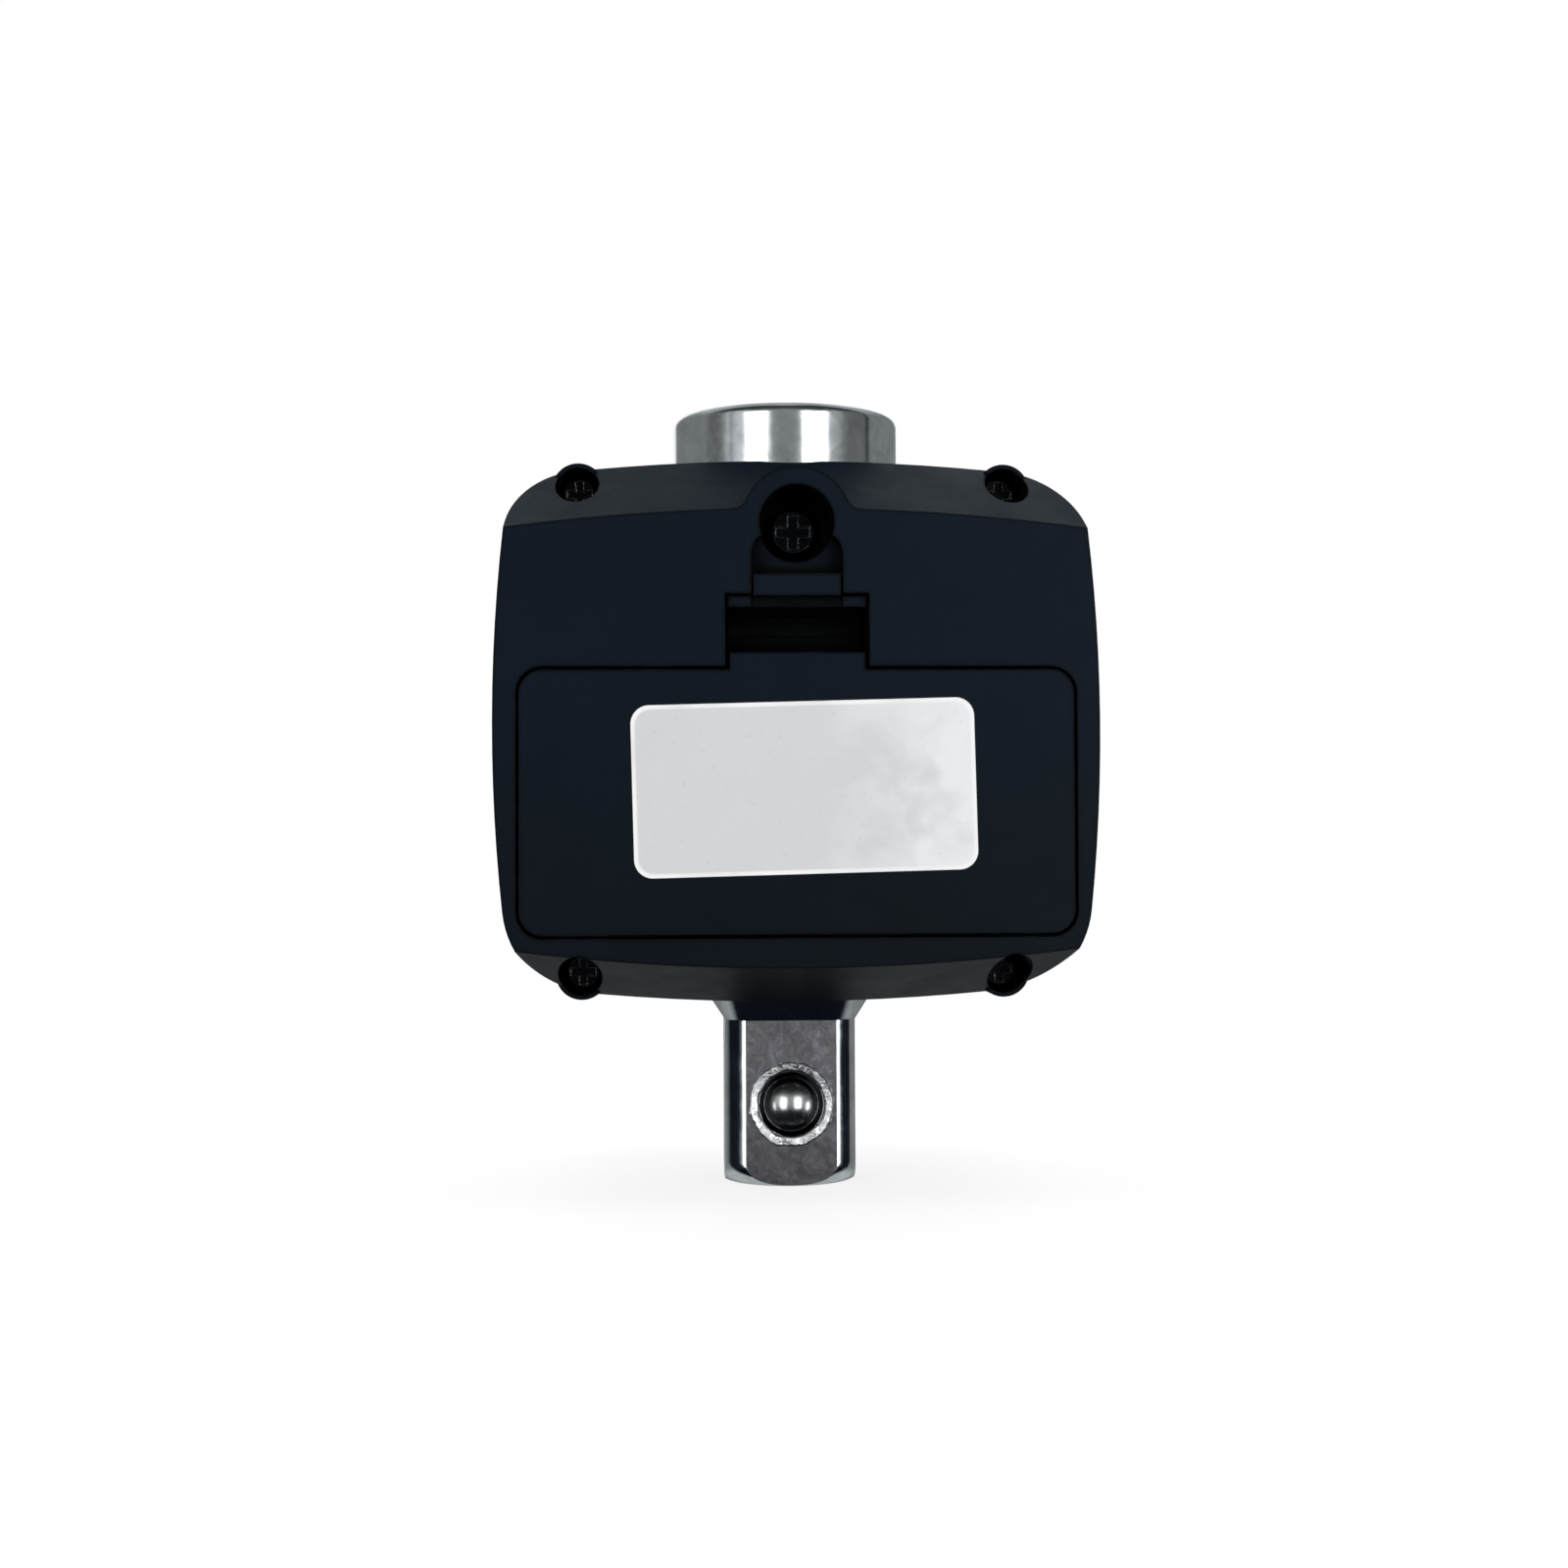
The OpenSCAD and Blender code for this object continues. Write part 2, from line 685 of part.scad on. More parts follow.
// Half of the latch's U bend, upper or lower, with its straight leg
module u_half(side, hw) {
  intersection() {
    translate([-hw, latch_yc, latch_zc]) rotate([0, 90, 0]) difference() {
      cylinder(r = latch_r + latch_t, h = 2 * hw, $fn = fine);
      translate([0, 0, -cut]) cylinder(r = latch_r, h = 2 * (hw + cut), $fn = fine);
    }
    block([-hw, latch_yc, latch_zc + min(side, 0) * 2 * latch_gap],
          [hw, latch_yc + latch_gap, latch_zc + max(side, 0) * 2 * latch_gap]);
  }
}

module latch_pin(r, hw) {
  translate([-hw, latch_pivot_y, latch_zc]) rotate([0, 90, 0]) cylinder(r = r, h = 2 * hw, $fn = fine);
}

module battery_cover() {
  color([0.07, 0.07, 0.08]) {
    difference() {
      union() {
        slab(-rear_depth, cover_in_y) {
          cover_outline(0);
          translate([-lug_w / 2, cover_z1 - cut]) square([lug_w, lug_h + cut]);
        }
        block([-lug_w / 2, cover_in_y - cut, lug_z1 - latch_t], [lug_w / 2, latch_yc, lug_z1]);
        u_half(-1, lug_w / 2);
        // Toes that hook under the back wall
        for (x = [-toe_x, toe_x]) {
          block([x - toe_w / 2, toe_y0, cover_z0 - toe_down],
                [x + toe_w / 2, toe_y0 + toe_t, cover_z0 + toe_up]);
          block([x - toe_w / 2, cover_in_y - cut, cover_z0 + seat_gap / 2],
                [x + toe_w / 2, toe_y0 + toe_t, cover_z0 + toe_up]);
        }
        // Ribs that reach between the two cells
        for (x = [-rib_x, rib_x])
          block([x - rib_t / 2, cover_in_y - cut, cover_mid - rib_hh],
                [x + rib_t / 2, cover_in_y + rib_deep, cover_mid + rib_hh]);
      }
      latch_pin(latch_t / 2 + run_gap, lug_w);
      for (z = [cell_low_z, cell_up_z])
        translate([-rib_x - rib_t, cell_y, z]) rotate([0, 90, 0])
          cylinder(r = cell_r + seat_gap, h = 2 * (rib_x + rib_t), $fn = fine);
    }
  }
}

module cover_latch() {
  leg_z0 = lug_z1 + latch_gap;
  tab_y0 = -rear_depth + tab_drop;
  color([0.09, 0.09, 0.1]) {
    latch_pin(latch_t / 2, lug_w / 2);
    u_half(1, lug_w / 2);
    // Thin ridge across the inside of the bend
    translate([-lug_w / 2, latch_yc + sqrt(latch_r * latch_r - ridge_up * ridge_up), latch_zc + ridge_up])
      rotate([0, 90, 0]) cylinder(r = ridge_r, h = lug_w, $fn = fine);
    // Shoulders that catch under the back wall on both sides of the tab
    block([-shoulder_hw, -rear_depth + shoulder_drop, leg_z0], [-scoop_hw, latch_yc, latch_out]);
    block([scoop_hw, -rear_depth + shoulder_drop, leg_z0], [shoulder_hw, latch_yc, latch_out]);
    block([-scoop_hw, tab_y0 + tab_t, leg_z0], [scoop_hw, latch_yc, latch_out]);
    // Thumb tab, stepped out to the level of the back
    block([-tab_w / 2, tab_y0 + tab_t, leg_z0],
          [tab_w / 2, -rear_depth + scoop_deep - seat_gap, latch_out + tab_block_h]);
    block([-tab_w / 2, tab_y0, latch_out], [tab_w / 2, tab_y0 + tab_t, latch_out + tab_h]);
  }
}

module label() {
  label_t = 0.1;
  label_corner_r = 1.7;
  label_x = 0.6;
  label_rise = 1.3;
  label_z = cover_mid + label_rise;
  color([0.8, 0.8, 0.81])
    translate([label_x, 0, label_z]) rotate([0, -label_tilt, 0])
      slab(-rear_depth - label_t, -rear_depth) rounded(label_w, label_h, label_corner_r);
}

// Shaft turned about Z: outline as radius and height
module shaft_turning() {
  rotate_extrude($fn = fine) {
    translate([0, drive_end_r]) square([corner_r, drive_len - drive_end_r]);
    square([corner_r - drive_end_r, drive_end_r]);
    intersection() {
      translate([corner_r - drive_end_r, drive_end_r]) circle(r = drive_end_r, $fn = fine / 2);
      square([corner_r, drive_end_r]);
    }
    polygon([[0, drive_len], [corner_r, drive_len], [low_collar_r, drive_len + neck_len],
             [low_collar_r, low_collar_top], [sense_r, low_collar_top + shoulder_h],
             [sense_r, head_low], [head_r, head_low + shoulder_h],
             [head_r, shaft_top - head_round], [0, shaft_top - head_round]]);
    translate([0, head_low + shoulder_h])
      square([head_r - head_round, shaft_top - head_low - shoulder_h]);
    translate([head_r - head_round, shaft_top - head_round]) circle(r = head_round, $fn = fine / 2);
  }
}

module torque_shaft() {
  ramp_h = (low_collar_r + seat_gap - drive_hw) / ramp_slope;
  far = low_collar_d;
  flat_z = (low_collar_top + shoulder_h + head_low) / 2;
  color([0.78, 0.78, 0.8]) difference() {
    shaft_turning();
    // Four flats of the male square, each running out in a ramp
    for (a = [0:90:270]) rotate([0, 0, a]) translate([-far / 2, 0, 0]) rotate([90, 0, 90])
      linear_extrude(height = far)
        polygon([[-drive_hw, -cut], [-drive_hw, drive_len],
                 [-drive_hw - ramp_slope * ramp_h, drive_len + ramp_h],
                 [-far, drive_len + ramp_h], [-far, -cut]]);
    // Flats that carry the strain gauges
    for (s = [0, 180]) rotate([0, 0, s])
      block([-sense_r, sense_r - sense_flat, flat_z - sense_flat_h / 2],
            [sense_r, sense_d, flat_z + sense_flat_h / 2]);
    // Female square with its lead-in and detent dimples
    block([-socket_sq / 2, -socket_sq / 2, shaft_top - socket_deep],
          [socket_sq / 2, socket_sq / 2, shaft_top + cut]);
    translate([0, 0, shaft_top - lead_in_h])
      cylinder(r1 = lead_in_r - lead_in_h, r2 = lead_in_r + cut, h = lead_in_h + cut, $fn = fine);
    for (a = [0:90:270]) rotate([0, 0, a])
      translate([0, socket_sq / 2 + detent_dimple_deep - detent_dimple_r, shaft_top - socket_deep / 2])
        sphere(r = detent_dimple_r, $fn = fine);
    // Hole of the centre screw
    bar(0, boss_z, boss_shank_d, -head_d, -head_r + boss_tap_deep);
    // Pocket of the detent ball, with its staked rim
    bar(0, ball_up, ball_d + 2 * run_gap, ball_y, ball_y + ball_hole_deep);
    translate([0, ball_y, ball_up]) sphere(r = ball_r + run_gap, $fn = fine);
    taper(0, ball_up, 2 * stake_in_r, 2 * (ball_r - 2 * run_gap),
          -drive_hw, -drive_hw + stake_cone_deep);
    taper(0, ball_up, 2 * stake_r, 2 * stake_in_r, -drive_hw, -drive_hw + stake_deep);
  }
}

module detent_ball() {
  color([0.85, 0.85, 0.86]) translate([0, ball_y, ball_up]) sphere(r = ball_r, $fn = fine);
}

// Wire wound into a coil along Z, from radius r0 at the foot to r1 at the top
module coil(r0, r1, len, turns, wire) {
  steps = ceil(16 * turns);
  sides = 6;
  w = wire / 2;
  points = [for (i = [0:steps], j = [0:sides - 1])
    let (t = i / steps, a = 360 * turns * t, b = 360 * j / sides, r = r0 + (r1 - r0) * t + w * cos(b))
    [r * cos(a), r * sin(a), w + (len - wire) * t + w * sin(b)]];
  walls = [for (i = [0:steps - 1], j = [0:sides - 1])
    let (k = (j + 1) % sides, p = i * sides)
    for (f = [[p + j, p + k, p + sides + k], [p + j, p + sides + k, p + sides + j]]) f];
  ends = [[for (j = [sides - 1:-1:0]) j], [for (j = [0:sides - 1]) steps * sides + j]];
  polyhedron(points, concat(walls, ends));
}

module ball_spring() {
  touch_r = ball_r + ball_wire / 2 + run_gap;
  spring_y0 = ball_y + sqrt(touch_r * touch_r - ball_coil_r * ball_coil_r) - ball_wire / 2;
  spring_y1 = ball_y + ball_hole_deep - run_gap;
  color([0.7, 0.7, 0.72]) translate([0, spring_y0, ball_up]) rotate([-90, 0, 0])
    coil(ball_coil_r, ball_coil_r, spring_y1 - spring_y0, 4.5, ball_wire);
}

module strain_gauges() {
  color([0.75, 0.5, 0.25]) for (s = [0, 180]) rotate([0, 0, s])
    block([-gauge_w / 2, sense_r - sense_flat, gauge_up - gauge_h / 2],
          [gauge_w / 2, sense_r - sense_flat + gauge_t, gauge_up + gauge_h / 2]);
}

module gauge_wires() {
  y0 = sense_r - sense_flat + gauge_t;
  color([0.8, 0.7, 0.3]) for (i = [-1.5:1:1.5])
    bar(i * gauge_wire_step, gauge_up, 2 * gauge_wire_r, y0, pcb_y0);
}

// Pan head screw along Y with its head towards the back and a cross recess
module screw(head_d, head_h, shank_d, reach) {
  slot = head_d / 5;
  slot_deep = head_h * 0.6;
  difference() {
    union() {
      bar(0, 0, head_d, -head_h + slot / 4, 0);
      taper(0, 0, head_d - slot, head_d, -head_h, -head_h + slot / 4);
    }
    for (a = [0, 90]) rotate([0, a, 0])
      block([-head_d / 3, -head_h - cut, -slot / 2], [head_d / 3, -head_h + slot_deep, slot / 2]);
  }
  bar(0, 0, shank_d, -head_h / 4, reach - shank_d / 2);
  taper(0, 0, shank_d, shank_d / 4, reach - shank_d / 2, reach);
}

module centre_screw() {
  color([0.12, 0.12, 0.13]) translate([0, boss_seat_y, boss_z])
    screw(boss_head_d, boss_head_h, boss_shank_d - 2 * run_gap,
          boss_seat_t + boss_seat_gap + boss_tap_deep - boss_tip_gap);
}

module corner_screws() {
  color([0.12, 0.12, 0.13]) at_corner_screws() translate([0, screw_seat_y, 0])
    screw(screw_head_d, screw_head_h, screw_pilot_d - run_gap, screw_reach - screw_seat_y);
}

module lcd_lens() {
  color([0.75, 0.8, 0.85, 0.4])
    slab(front_depth - lens_t, front_depth) translate([0, window_z])
      rounded(window_w + 2 * (lens_lap - lens_gap), window_h + 2 * (lens_lap - lens_gap),
              lens_corner_r - lens_gap);
}

module lcd_glass() {
  color([0.55, 0.6, 0.5]) slab(lcd_y0, lcd_y1) translate([0, window_z])
    square([window_w + 2 * lcd_over, window_h + 2 * lcd_over], center = true);
}

module lcd_backlight() {
  color([0.9, 0.9, 0.88]) slab(pcb_y1, lcd_y0) translate([0, window_z])
    square([window_w - 2 * lcd_over, backlight_h - 2 * zebra_gap], center = true);
}

module zebra_strips() {
  color([0.85, 0.45, 0.5]) for (s = [-1, 1])
    slab(pcb_y1, lcd_y0) translate([0, window_z + s * (backlight_h + zebra_w) / 2])
      square([window_w - 2 * lens_lap, zebra_w], center = true);
}

module main_pcb() {
  color([0.05, 0.3, 0.15]) difference() {
    slab(pcb_y0, pcb_y1) {
      translate([0, (pcb_z0 + pcb_z1) / 2]) rounded(2 * pcb_hw, pcb_z1 - pcb_z0, pcb_corner_r);
      // Tab between the upper screw columns
      translate([-pcb_tab_hw, pcb_z1 - pcb_corner_r])
        square([2 * pcb_tab_hw, pcb_tab_z1 - pcb_z1 + pcb_corner_r]);
    }
    at_posts() bar(0, 0, pcb_hole_d, pcb_y0 - cut, pcb_y1 + cut);
  }
}

module pcb_screws() {
  color([0.6, 0.6, 0.62]) at_posts() translate([0, pcb_y0, 0])
    screw(pcb_screw_head_d, pcb_screw_head_h, pcb_screw_d - 2 * run_gap, pcb_screw_len);
}

module board_chips() {
  color([0.1, 0.1, 0.1]) {
    translate([chip_x, 0, cover_mid]) slab(pcb_y0 - chip_t, pcb_y0) square(chip_w, center = true);
    translate([chip_x, 0, cover_mid - chip_w]) slab(pcb_y0 - chip_t, pcb_y0)
      square([amp_h, amp_w], center = true);
  }
}

module buzzer() {
  color([0.09, 0.09, 0.09]) difference() {
    bar(buzzer_x, buzzer_z, buzzer_d, pcb_y0 - buzzer_h, pcb_y0);
    bar(buzzer_x, buzzer_z, buzzer_hole_d, pcb_y0 - buzzer_h - cut, pcb_y0 - buzzer_h / 2);
  }
}

module led(x) {
  top = front_depth + led_proud - led_d / 2;
  foot = pcb_y1 + led_stand_share * (front_depth - pcb_y1);
  translate([0, top, 0]) translate([x, 0, led_z]) sphere(d = led_d, $fn = fine);
  bar(x, led_z, led_d, foot, top);
  bar(x, led_z, led_d + 2 * led_flange, foot, foot + led_base_t);
  for (s = [-1, 1])
    bar(x + s * led_lead_gap / 2, led_z, 2 * led_lead_r, pcb_y1, foot + led_base_t / 2);
}

module led_green() {
  color([0.15, 0.7, 0.25]) led(-led_x);
}

module led_red() {
  color([0.85, 0.12, 0.1]) led(led_x);
}

// Rubber mat under the keys: a sheet on the board with a domed skirt round each key's stem
module keypad_mat() {
  skirt_y1 = key_flange_y() - key_travel - seat_gap;
  tip_r = key_stem_d / 2 + seat_gap;
  color([0.3, 0.3, 0.32]) {
    difference() {
      slab(pcb_y1, pcb_y1 + mat_t) translate([0, key_z])
        square([4 * key_pitch + mat_h, mat_h], center = true);
      at_keys() bar(0, 0, 2 * mat_dome_r, pcb_y1 - cut, pcb_y1 + mat_t + cut);
    }
    at_keys() turned([0, 0], fine)
      polygon([[mat_dome_r, pcb_y1], [mat_dome_r + mat_skirt_t, pcb_y1],
               [tip_r + mat_skirt_t, skirt_y1], [tip_r, skirt_y1]]);
  }
}

function key_flange_y() = front_in_y - seat_gap - key_flange_t;

module key(i) {
  translate([i * key_pitch, 0, key_z]) {
    slab(key_flange_y(), front_depth + key_proud) rounded(key_w, key_h, key_corner_r);
    slab(key_flange_y(), key_flange_y() + key_flange_t)
      rounded(key_w + 2 * key_flange, key_h + 2 * key_flange, key_corner_r + key_flange);
    bar(0, 0, key_stem_d, pcb_y1 + key_travel + key_foot_gap, key_flange_y() + cut);
  }
}

module key_power() {
  color([0.75, 0.2, 0.15]) key(0);
}

module key_unit() {
  color([0.45, 0.46, 0.48]) key(-1);
}

module key_mode() {
  color([0.45, 0.46, 0.48]) key(1);
}

module key_up() {
  color([0.45, 0.46, 0.48]) key(2);
}

module key_down() {
  color([0.45, 0.46, 0.48]) key(-2);
}

// Cell along X, its button towards +X, between the contact plates
module cell() {
  x0 = -bay_hw + contact_t + spring_room;
  rotate([0, 90, 0]) {
    translate([0, 0, x0]) cylinder(d = cell_d, h = cell_len - cell_nub_h, $fn = fine);
    translate([0, 0, x0]) cylinder(d = cell_nub_d, h = cell_len, $fn = fine);
  }
}

module battery_upper() {
  color([0.25, 0.35, 0.6]) translate([0, cell_y, cell_up_z]) cell();
}

module battery_lower() {
  color([0.25, 0.35, 0.6]) translate([0, cell_y, cell_low_z]) mirror([1, 0, 0]) cell();
}

// Contact plate against the bay's end wall, between two heights
module contact_plate(z0, z1) {
  block([bay_hw - contact_t, cell_y - contact_w / 2, z0], [bay_hw, cell_y + contact_w / 2, z1]);
}

module contact_bridge() {
  color([0.8, 0.8, 0.82]) mirror([1, 0, 0])
    contact_plate(cell_low_z - contact_w / 2, cell_up_z + contact_w / 2);
}

module contact_plus() {
  color([0.8, 0.8, 0.82]) contact_plate(cell_up_z - contact_w / 2, cell_up_z + contact_w / 2);
}

module contact_minus() {
  color([0.8, 0.8, 0.82]) contact_plate(cell_low_z - contact_w / 2, cell_low_z + contact_w / 2);
}

// Conical contact spring along +X from the plate to the flat end of a cell
module contact_coil(z) {
  translate([-bay_hw + contact_t, cell_y, z]) rotate([0, 90, 0])
    coil(coil_wide_r, coil_tip_r, spring_room, coil_turns, coil_wire);
}

module bridge_spring() {
  color([0.8, 0.8, 0.82]) contact_coil(cell_up_z);
}

module minus_spring() {
  color([0.8, 0.8, 0.82]) mirror([1, 0, 0]) contact_coil(cell_low_z);
}

// Insulated lead from under the bay's floor to the board
module lead(z) {
  x = pcb_hw - lead_bend;
  bar(x, z, 2 * lead_wire_r, bay_floor_y + bay_floor_t, pcb_y0);
}

module wire_red() {
  color([0.75, 0.08, 0.06]) lead(cell_up_z);
}

module wire_black() {
  color([0.05, 0.05, 0.05]) lead(cell_low_z);
}

rear_housing();
front_housing();
battery_cover();
cover_latch();
label();
torque_shaft();
detent_ball();
ball_spring();
strain_gauges();
gauge_wires();
centre_screw();
corner_screws();
lcd_lens();
lcd_glass();
lcd_backlight();
zebra_strips();
main_pcb();
pcb_screws();
board_chips();
buzzer();
led_green();
led_red();
keypad_mat();
key_power();
key_unit();
key_mode();
key_up();
key_down();
battery_upper();
battery_lower();
contact_bridge();
contact_plus();
contact_minus();
bridge_spring();
minus_spring();
wire_red();
wire_black();
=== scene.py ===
import bpy
import json
import math
from mathutils import Matrix, Vector

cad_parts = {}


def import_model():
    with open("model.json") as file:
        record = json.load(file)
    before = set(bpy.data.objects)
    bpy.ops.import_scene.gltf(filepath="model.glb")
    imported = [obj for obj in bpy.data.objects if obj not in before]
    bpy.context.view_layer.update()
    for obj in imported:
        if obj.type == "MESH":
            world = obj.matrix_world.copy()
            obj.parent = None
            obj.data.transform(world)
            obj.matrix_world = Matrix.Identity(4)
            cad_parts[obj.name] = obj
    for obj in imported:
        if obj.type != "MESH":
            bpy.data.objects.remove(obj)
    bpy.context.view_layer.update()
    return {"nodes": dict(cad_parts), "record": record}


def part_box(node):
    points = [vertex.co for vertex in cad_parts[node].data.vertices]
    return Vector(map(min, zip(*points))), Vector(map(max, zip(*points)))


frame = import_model()
nodes = frame["nodes"]
scene = bpy.context.scene
MM = 0.001


def middle(node):
    """Centre of a CAD node's box, and half its size."""
    low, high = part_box(node)
    return (low + high) / 2, (high - low) / 2


# Named values. A pair of places or of noise levels is where a mask begins (0) and where it is full
# (1), and two more numbers beside them are what it gives there instead. A pair of colours, shares
# or roughnesses is what a surface drifts between. A bump is its strength and its depth. A grain is
# how finely a pattern repeats along the three axes, and how it is turned.

# Black body
BODY_FADE = (20 * MM, 52 * MM)
BODY_BEVEL = 0.16 * MM
EDGE_SHADE_RADIUS = 0.5 * MM
WORN_HIGHLIGHT_RADIUS = 0.11 * MM
HOLLOW_REACH = 9 * MM
TROUGH_SIDE = (7.3 * MM, 7.0 * MM)
TROUGH_DEPTH = (-20.7 * MM, -20.2 * MM)
TROUGH_FOOT = (45.5 * MM, 46 * MM)
TROUGH_TOP = (59 * MM, 58.5 * MM)
BODY_BLACK = (0.0021, 0.0064, 0.0132)
BODY_TINT = (0.86, 0.95, 1)
BODY_LOW_SHARES = ((0.7, 0.5, 0.46), (1.35, 0.95, 0.85))
BODY_HIGH_SHARES = (0.7, 1.38)
BODY_EDGE_SHADE_SHARE = 0.12
BODY_HOLLOW_SHADE_SHARE = 0.04
BODY_WEAR_AND_HIGHLIGHT = [channel * 2.5 + 0.016 for channel in BODY_BLACK]
BODY_ROUGH = (0.405, 0.5)
HOLLOW_ROUGHER = 0.3
MARK_SMOOTHER = 0.12
WORN_HIGHLIGHT_LEVELS = (0.5, 0.66)
UPRIGHT_GRAIN = ((2600, 900, 140), (0.35, 0.0, 0.9))
UPRIGHT_LEVELS = (0.72, 0.78)
ACROSS_GRAIN = ((160, 900, 3000), (0.1, 0.5, 0.0))
ACROSS_LEVELS = (0.73, 0.79)
SCRATCHED_LEVELS = (0.52, 0.6)
BODY_BUMP = (0.32, 0.02 * MM)
MARK_BUMP = (0.25, -0.01 * MM)

# Steel shaft and ball
HEAD_FOOT = (45 * MM, 46 * MM)
SQUARE_TOP = (16.2 * MM, 16.1 * MM)
SQUARE_FADE = (2.5 * MM, 11 * MM)
SQUARE_FRONT = (-1.0 * MM, -1.6 * MM)
# How squarely a face looks along an axis
FLAT_FACING = (0.985, 0.992)
STEEL_BEVEL = 0.12 * MM
RUBBED_HIGHLIGHT_RADIUS = 0.1 * MM
BALL_AT = middle("detent_ball")[0]
BALL_SHADED_RIM = (1.7 * MM, 2.15 * MM)
GUTTER_RADIUS = (3.4 * MM, 3.2 * MM)
BURR_INNER = (3.2 * MM, 3.35 * MM)
BURR_OUTER = (4.1 * MM, 3.95 * MM)
BURR_WANDER = (-0.2 * MM, 0.2 * MM)
BURR_LIT_WAY = (-0.7, 0, -0.7)
BURR_LIT_LIMITS = (-0.35, 0.45)
BEATEN_WANDER = (0.35, 0.65, -0.55, 0.55)
BRUSHED_GRAIN = ((2200, 2200, 320), (0, 0.5, 0))
SWIRL_SHARE = 0.86
TONE_LEVELS = (0.38, 0.62)
STEEL_TIP = ((0.25, 0.235, 0.26), (0.42, 0.40, 0.435))
STEEL_GROUND = ((0.34, 0.32, 0.355), (0.55, 0.528, 0.57))
STEEL_PLATED = ((0.54, 0.565, 0.575), (0.84, 0.855, 0.865))
STEEL_BURR_SHADE_TO_HIGHLIGHT = ((0.17, 0.165, 0.18), (0.82, 0.82, 0.83))
STEEL_GUTTER_SHADE = (0.085, 0.085, 0.09)
STEEL_RUBBED_HIGHLIGHT = (0.92, 0.92, 0.93)
GROUND_ROUGH = (0.36, 0.64, 0.12, 0.24)
PLATED_ROUGH = (0.06, 0.10)
HEAD_ROUGHER = 0.075
BURR_ROUGHER = 0.12
WAVE_BUMP = (0.3, 0.03 * MM)
STEEL_BUMP = (0.1, 0.004 * MM)
PEEL_BUMP = (0.35, 0.012 * MM)
DENT_BUMP = (0.8, 0.25 * MM)
BALL_BRIGHT = ((0.66, 0.66, 0.64), (0.78, 0.78, 0.76))
BALL_RIM_SHADE = (0.06, 0.062, 0.066)
BALL_ROUGH = (0.22, 0.28)
BALL_BUMP = (0.1, 0.001 * MM)

# Label
LABEL_TILT = math.radians(1.4)
LABEL_CORNER = 1.8 * MM
LABEL_RIM = (LABEL_CORNER - 0.42 * MM, LABEL_CORNER - 0.25 * MM)
# From the centre, as shares of half the label's length
LABEL_RIGHT_SHARES = (-0.1, 0.8)
# Gaps from the label's right end, and from its long sides
LABEL_END = (6.5 * MM, 1.5 * MM)
LABEL_BAND = (4.2 * MM, 0.8 * MM)
LABEL_BAND_SHARE = 0.8
LABEL_END_WANDER = (-3 * MM, 3 * MM)
LABEL_BAND_WANDER = (-1.5 * MM, 1.5 * MM)
LABEL_BASE = ((0.655, 0.66, 0.67), (0.71, 0.715, 0.725))
LABEL_BLOT = (0.79, 0.795, 0.80)
LABEL_PALE = (0.85, 0.86, 0.87)
LABEL_SPECK = (0.54, 0.545, 0.56)
LABEL_RIM_HIGHLIGHT = (0.95, 0.95, 0.95)
LABEL_ROUGH = (0.38, 0.56)
BLOT_LEVELS = (0.42, 0.62)
SPECK_LEVELS = (0.62, 0.72, 0, 0.3)
RIM_HIGHLIGHT_LEVELS = (0.3, 0.55, 0.45, 1)
MOTTLE_BUMP = (0.25, 0.05 * MM)
FLECK_BUMP = (0.12, 0.01 * MM)

# Display, board and cells; borders are gaps from the rim
LENS_BORDER = (2.05 * MM, 2.0 * MM)
LENS_BEVEL = 0.15 * MM
LENS_CLEAR = ((0.93, 0.95, 0.96), (0.98, 0.99, 1.0))
LENS_BLACK = (0.004, 0.004, 0.005)
LENS_ROUGH = (0.4, 0.8, 0.012, 0.05)
LENS_BUMP = (0.02, 0.01 * MM)
GLASS_BORDER = (1.4 * MM, 1.2 * MM)
GLASS_AREA = ((0.30, 0.34, 0.27), (0.34, 0.385, 0.31))
GLASS_RIM = (0.035, 0.037, 0.04)
GLASS_ROUGH = (0.16, 0.22)
GLASS_BUMP = (0.04, 0.01 * MM)
LED_SHARE = 0.9
LED_ROUGH = (0.08, 0.16)
LED_BUMP = (0.05, 0.01 * MM)
BOARD_GRAIN = ((420, 420, 520), (math.pi / 2, 0, 0))
BOARD_LINE_WIDTH = 0.06
BOARD_LINE_LEVELS = (0.2, 0.8)
BOARD_GREEN = ((0.012, 0.15, 0.055), (0.03, 0.27, 0.10))
BOARD_ROUGH = (0.3, 0.42)
BOARD_BUMP = (0.3, 0.03 * MM)
CELL_BARE_END = (20.2 * MM, 20.35 * MM)
CELL_RING = (14.0 * MM, 14.1 * MM)
CELL_BEVEL = 0.12 * MM
CELL_SLEEVE = ((0.035, 0.055, 0.11), (0.5, 0.34, 0.12))
CELL_METAL = (0.62, 0.62, 0.63)
CELL_ROUGH = (0.22, 0.34)
CELL_BUMP = (0.08, 0.02 * MM)

# Small parts
PART_BEVEL = 0.08 * MM
SCREW_BEVEL = 0.14 * MM
KEY_BEVEL = 0.45 * MM
METAL_GLINT_RADIUS = 0.12 * MM
METAL_GLINT_LEVELS = (0.4, 0.6, 0.2, 1)
METAL_SHARES = (0.9, 1.08)
METAL_ROUGH_DRIFT = 0.06
METAL_STRENGTH = 0.2
METAL_DEPTH = 0.002 * MM
SCREW_DEPTH = 0.006 * MM
PLAIN_SHARES = (0.88, 1.12)
PLAIN_ROUGH_DRIFT = 0.05
PLAIN_DEPTH = 0.008 * MM
SCREW_BLACK = (0.0075, 0.008, 0.0095)
SCREW_GLINT = 0.6


# Node helpers. They take sockets, numbers and colours, and give back the socket of their result.

# Where most of a noise lies
NOISE_SPREAD = (0.3, 0.7)
# How far below 1 the match of rounded and flat directions falls on a full edge, at gain 1
EDGE_DROP = 0.25
# Share of open surroundings where a hollow begins, and where it is full
HOLLOW_LIGHT = (0.7, 0.35)


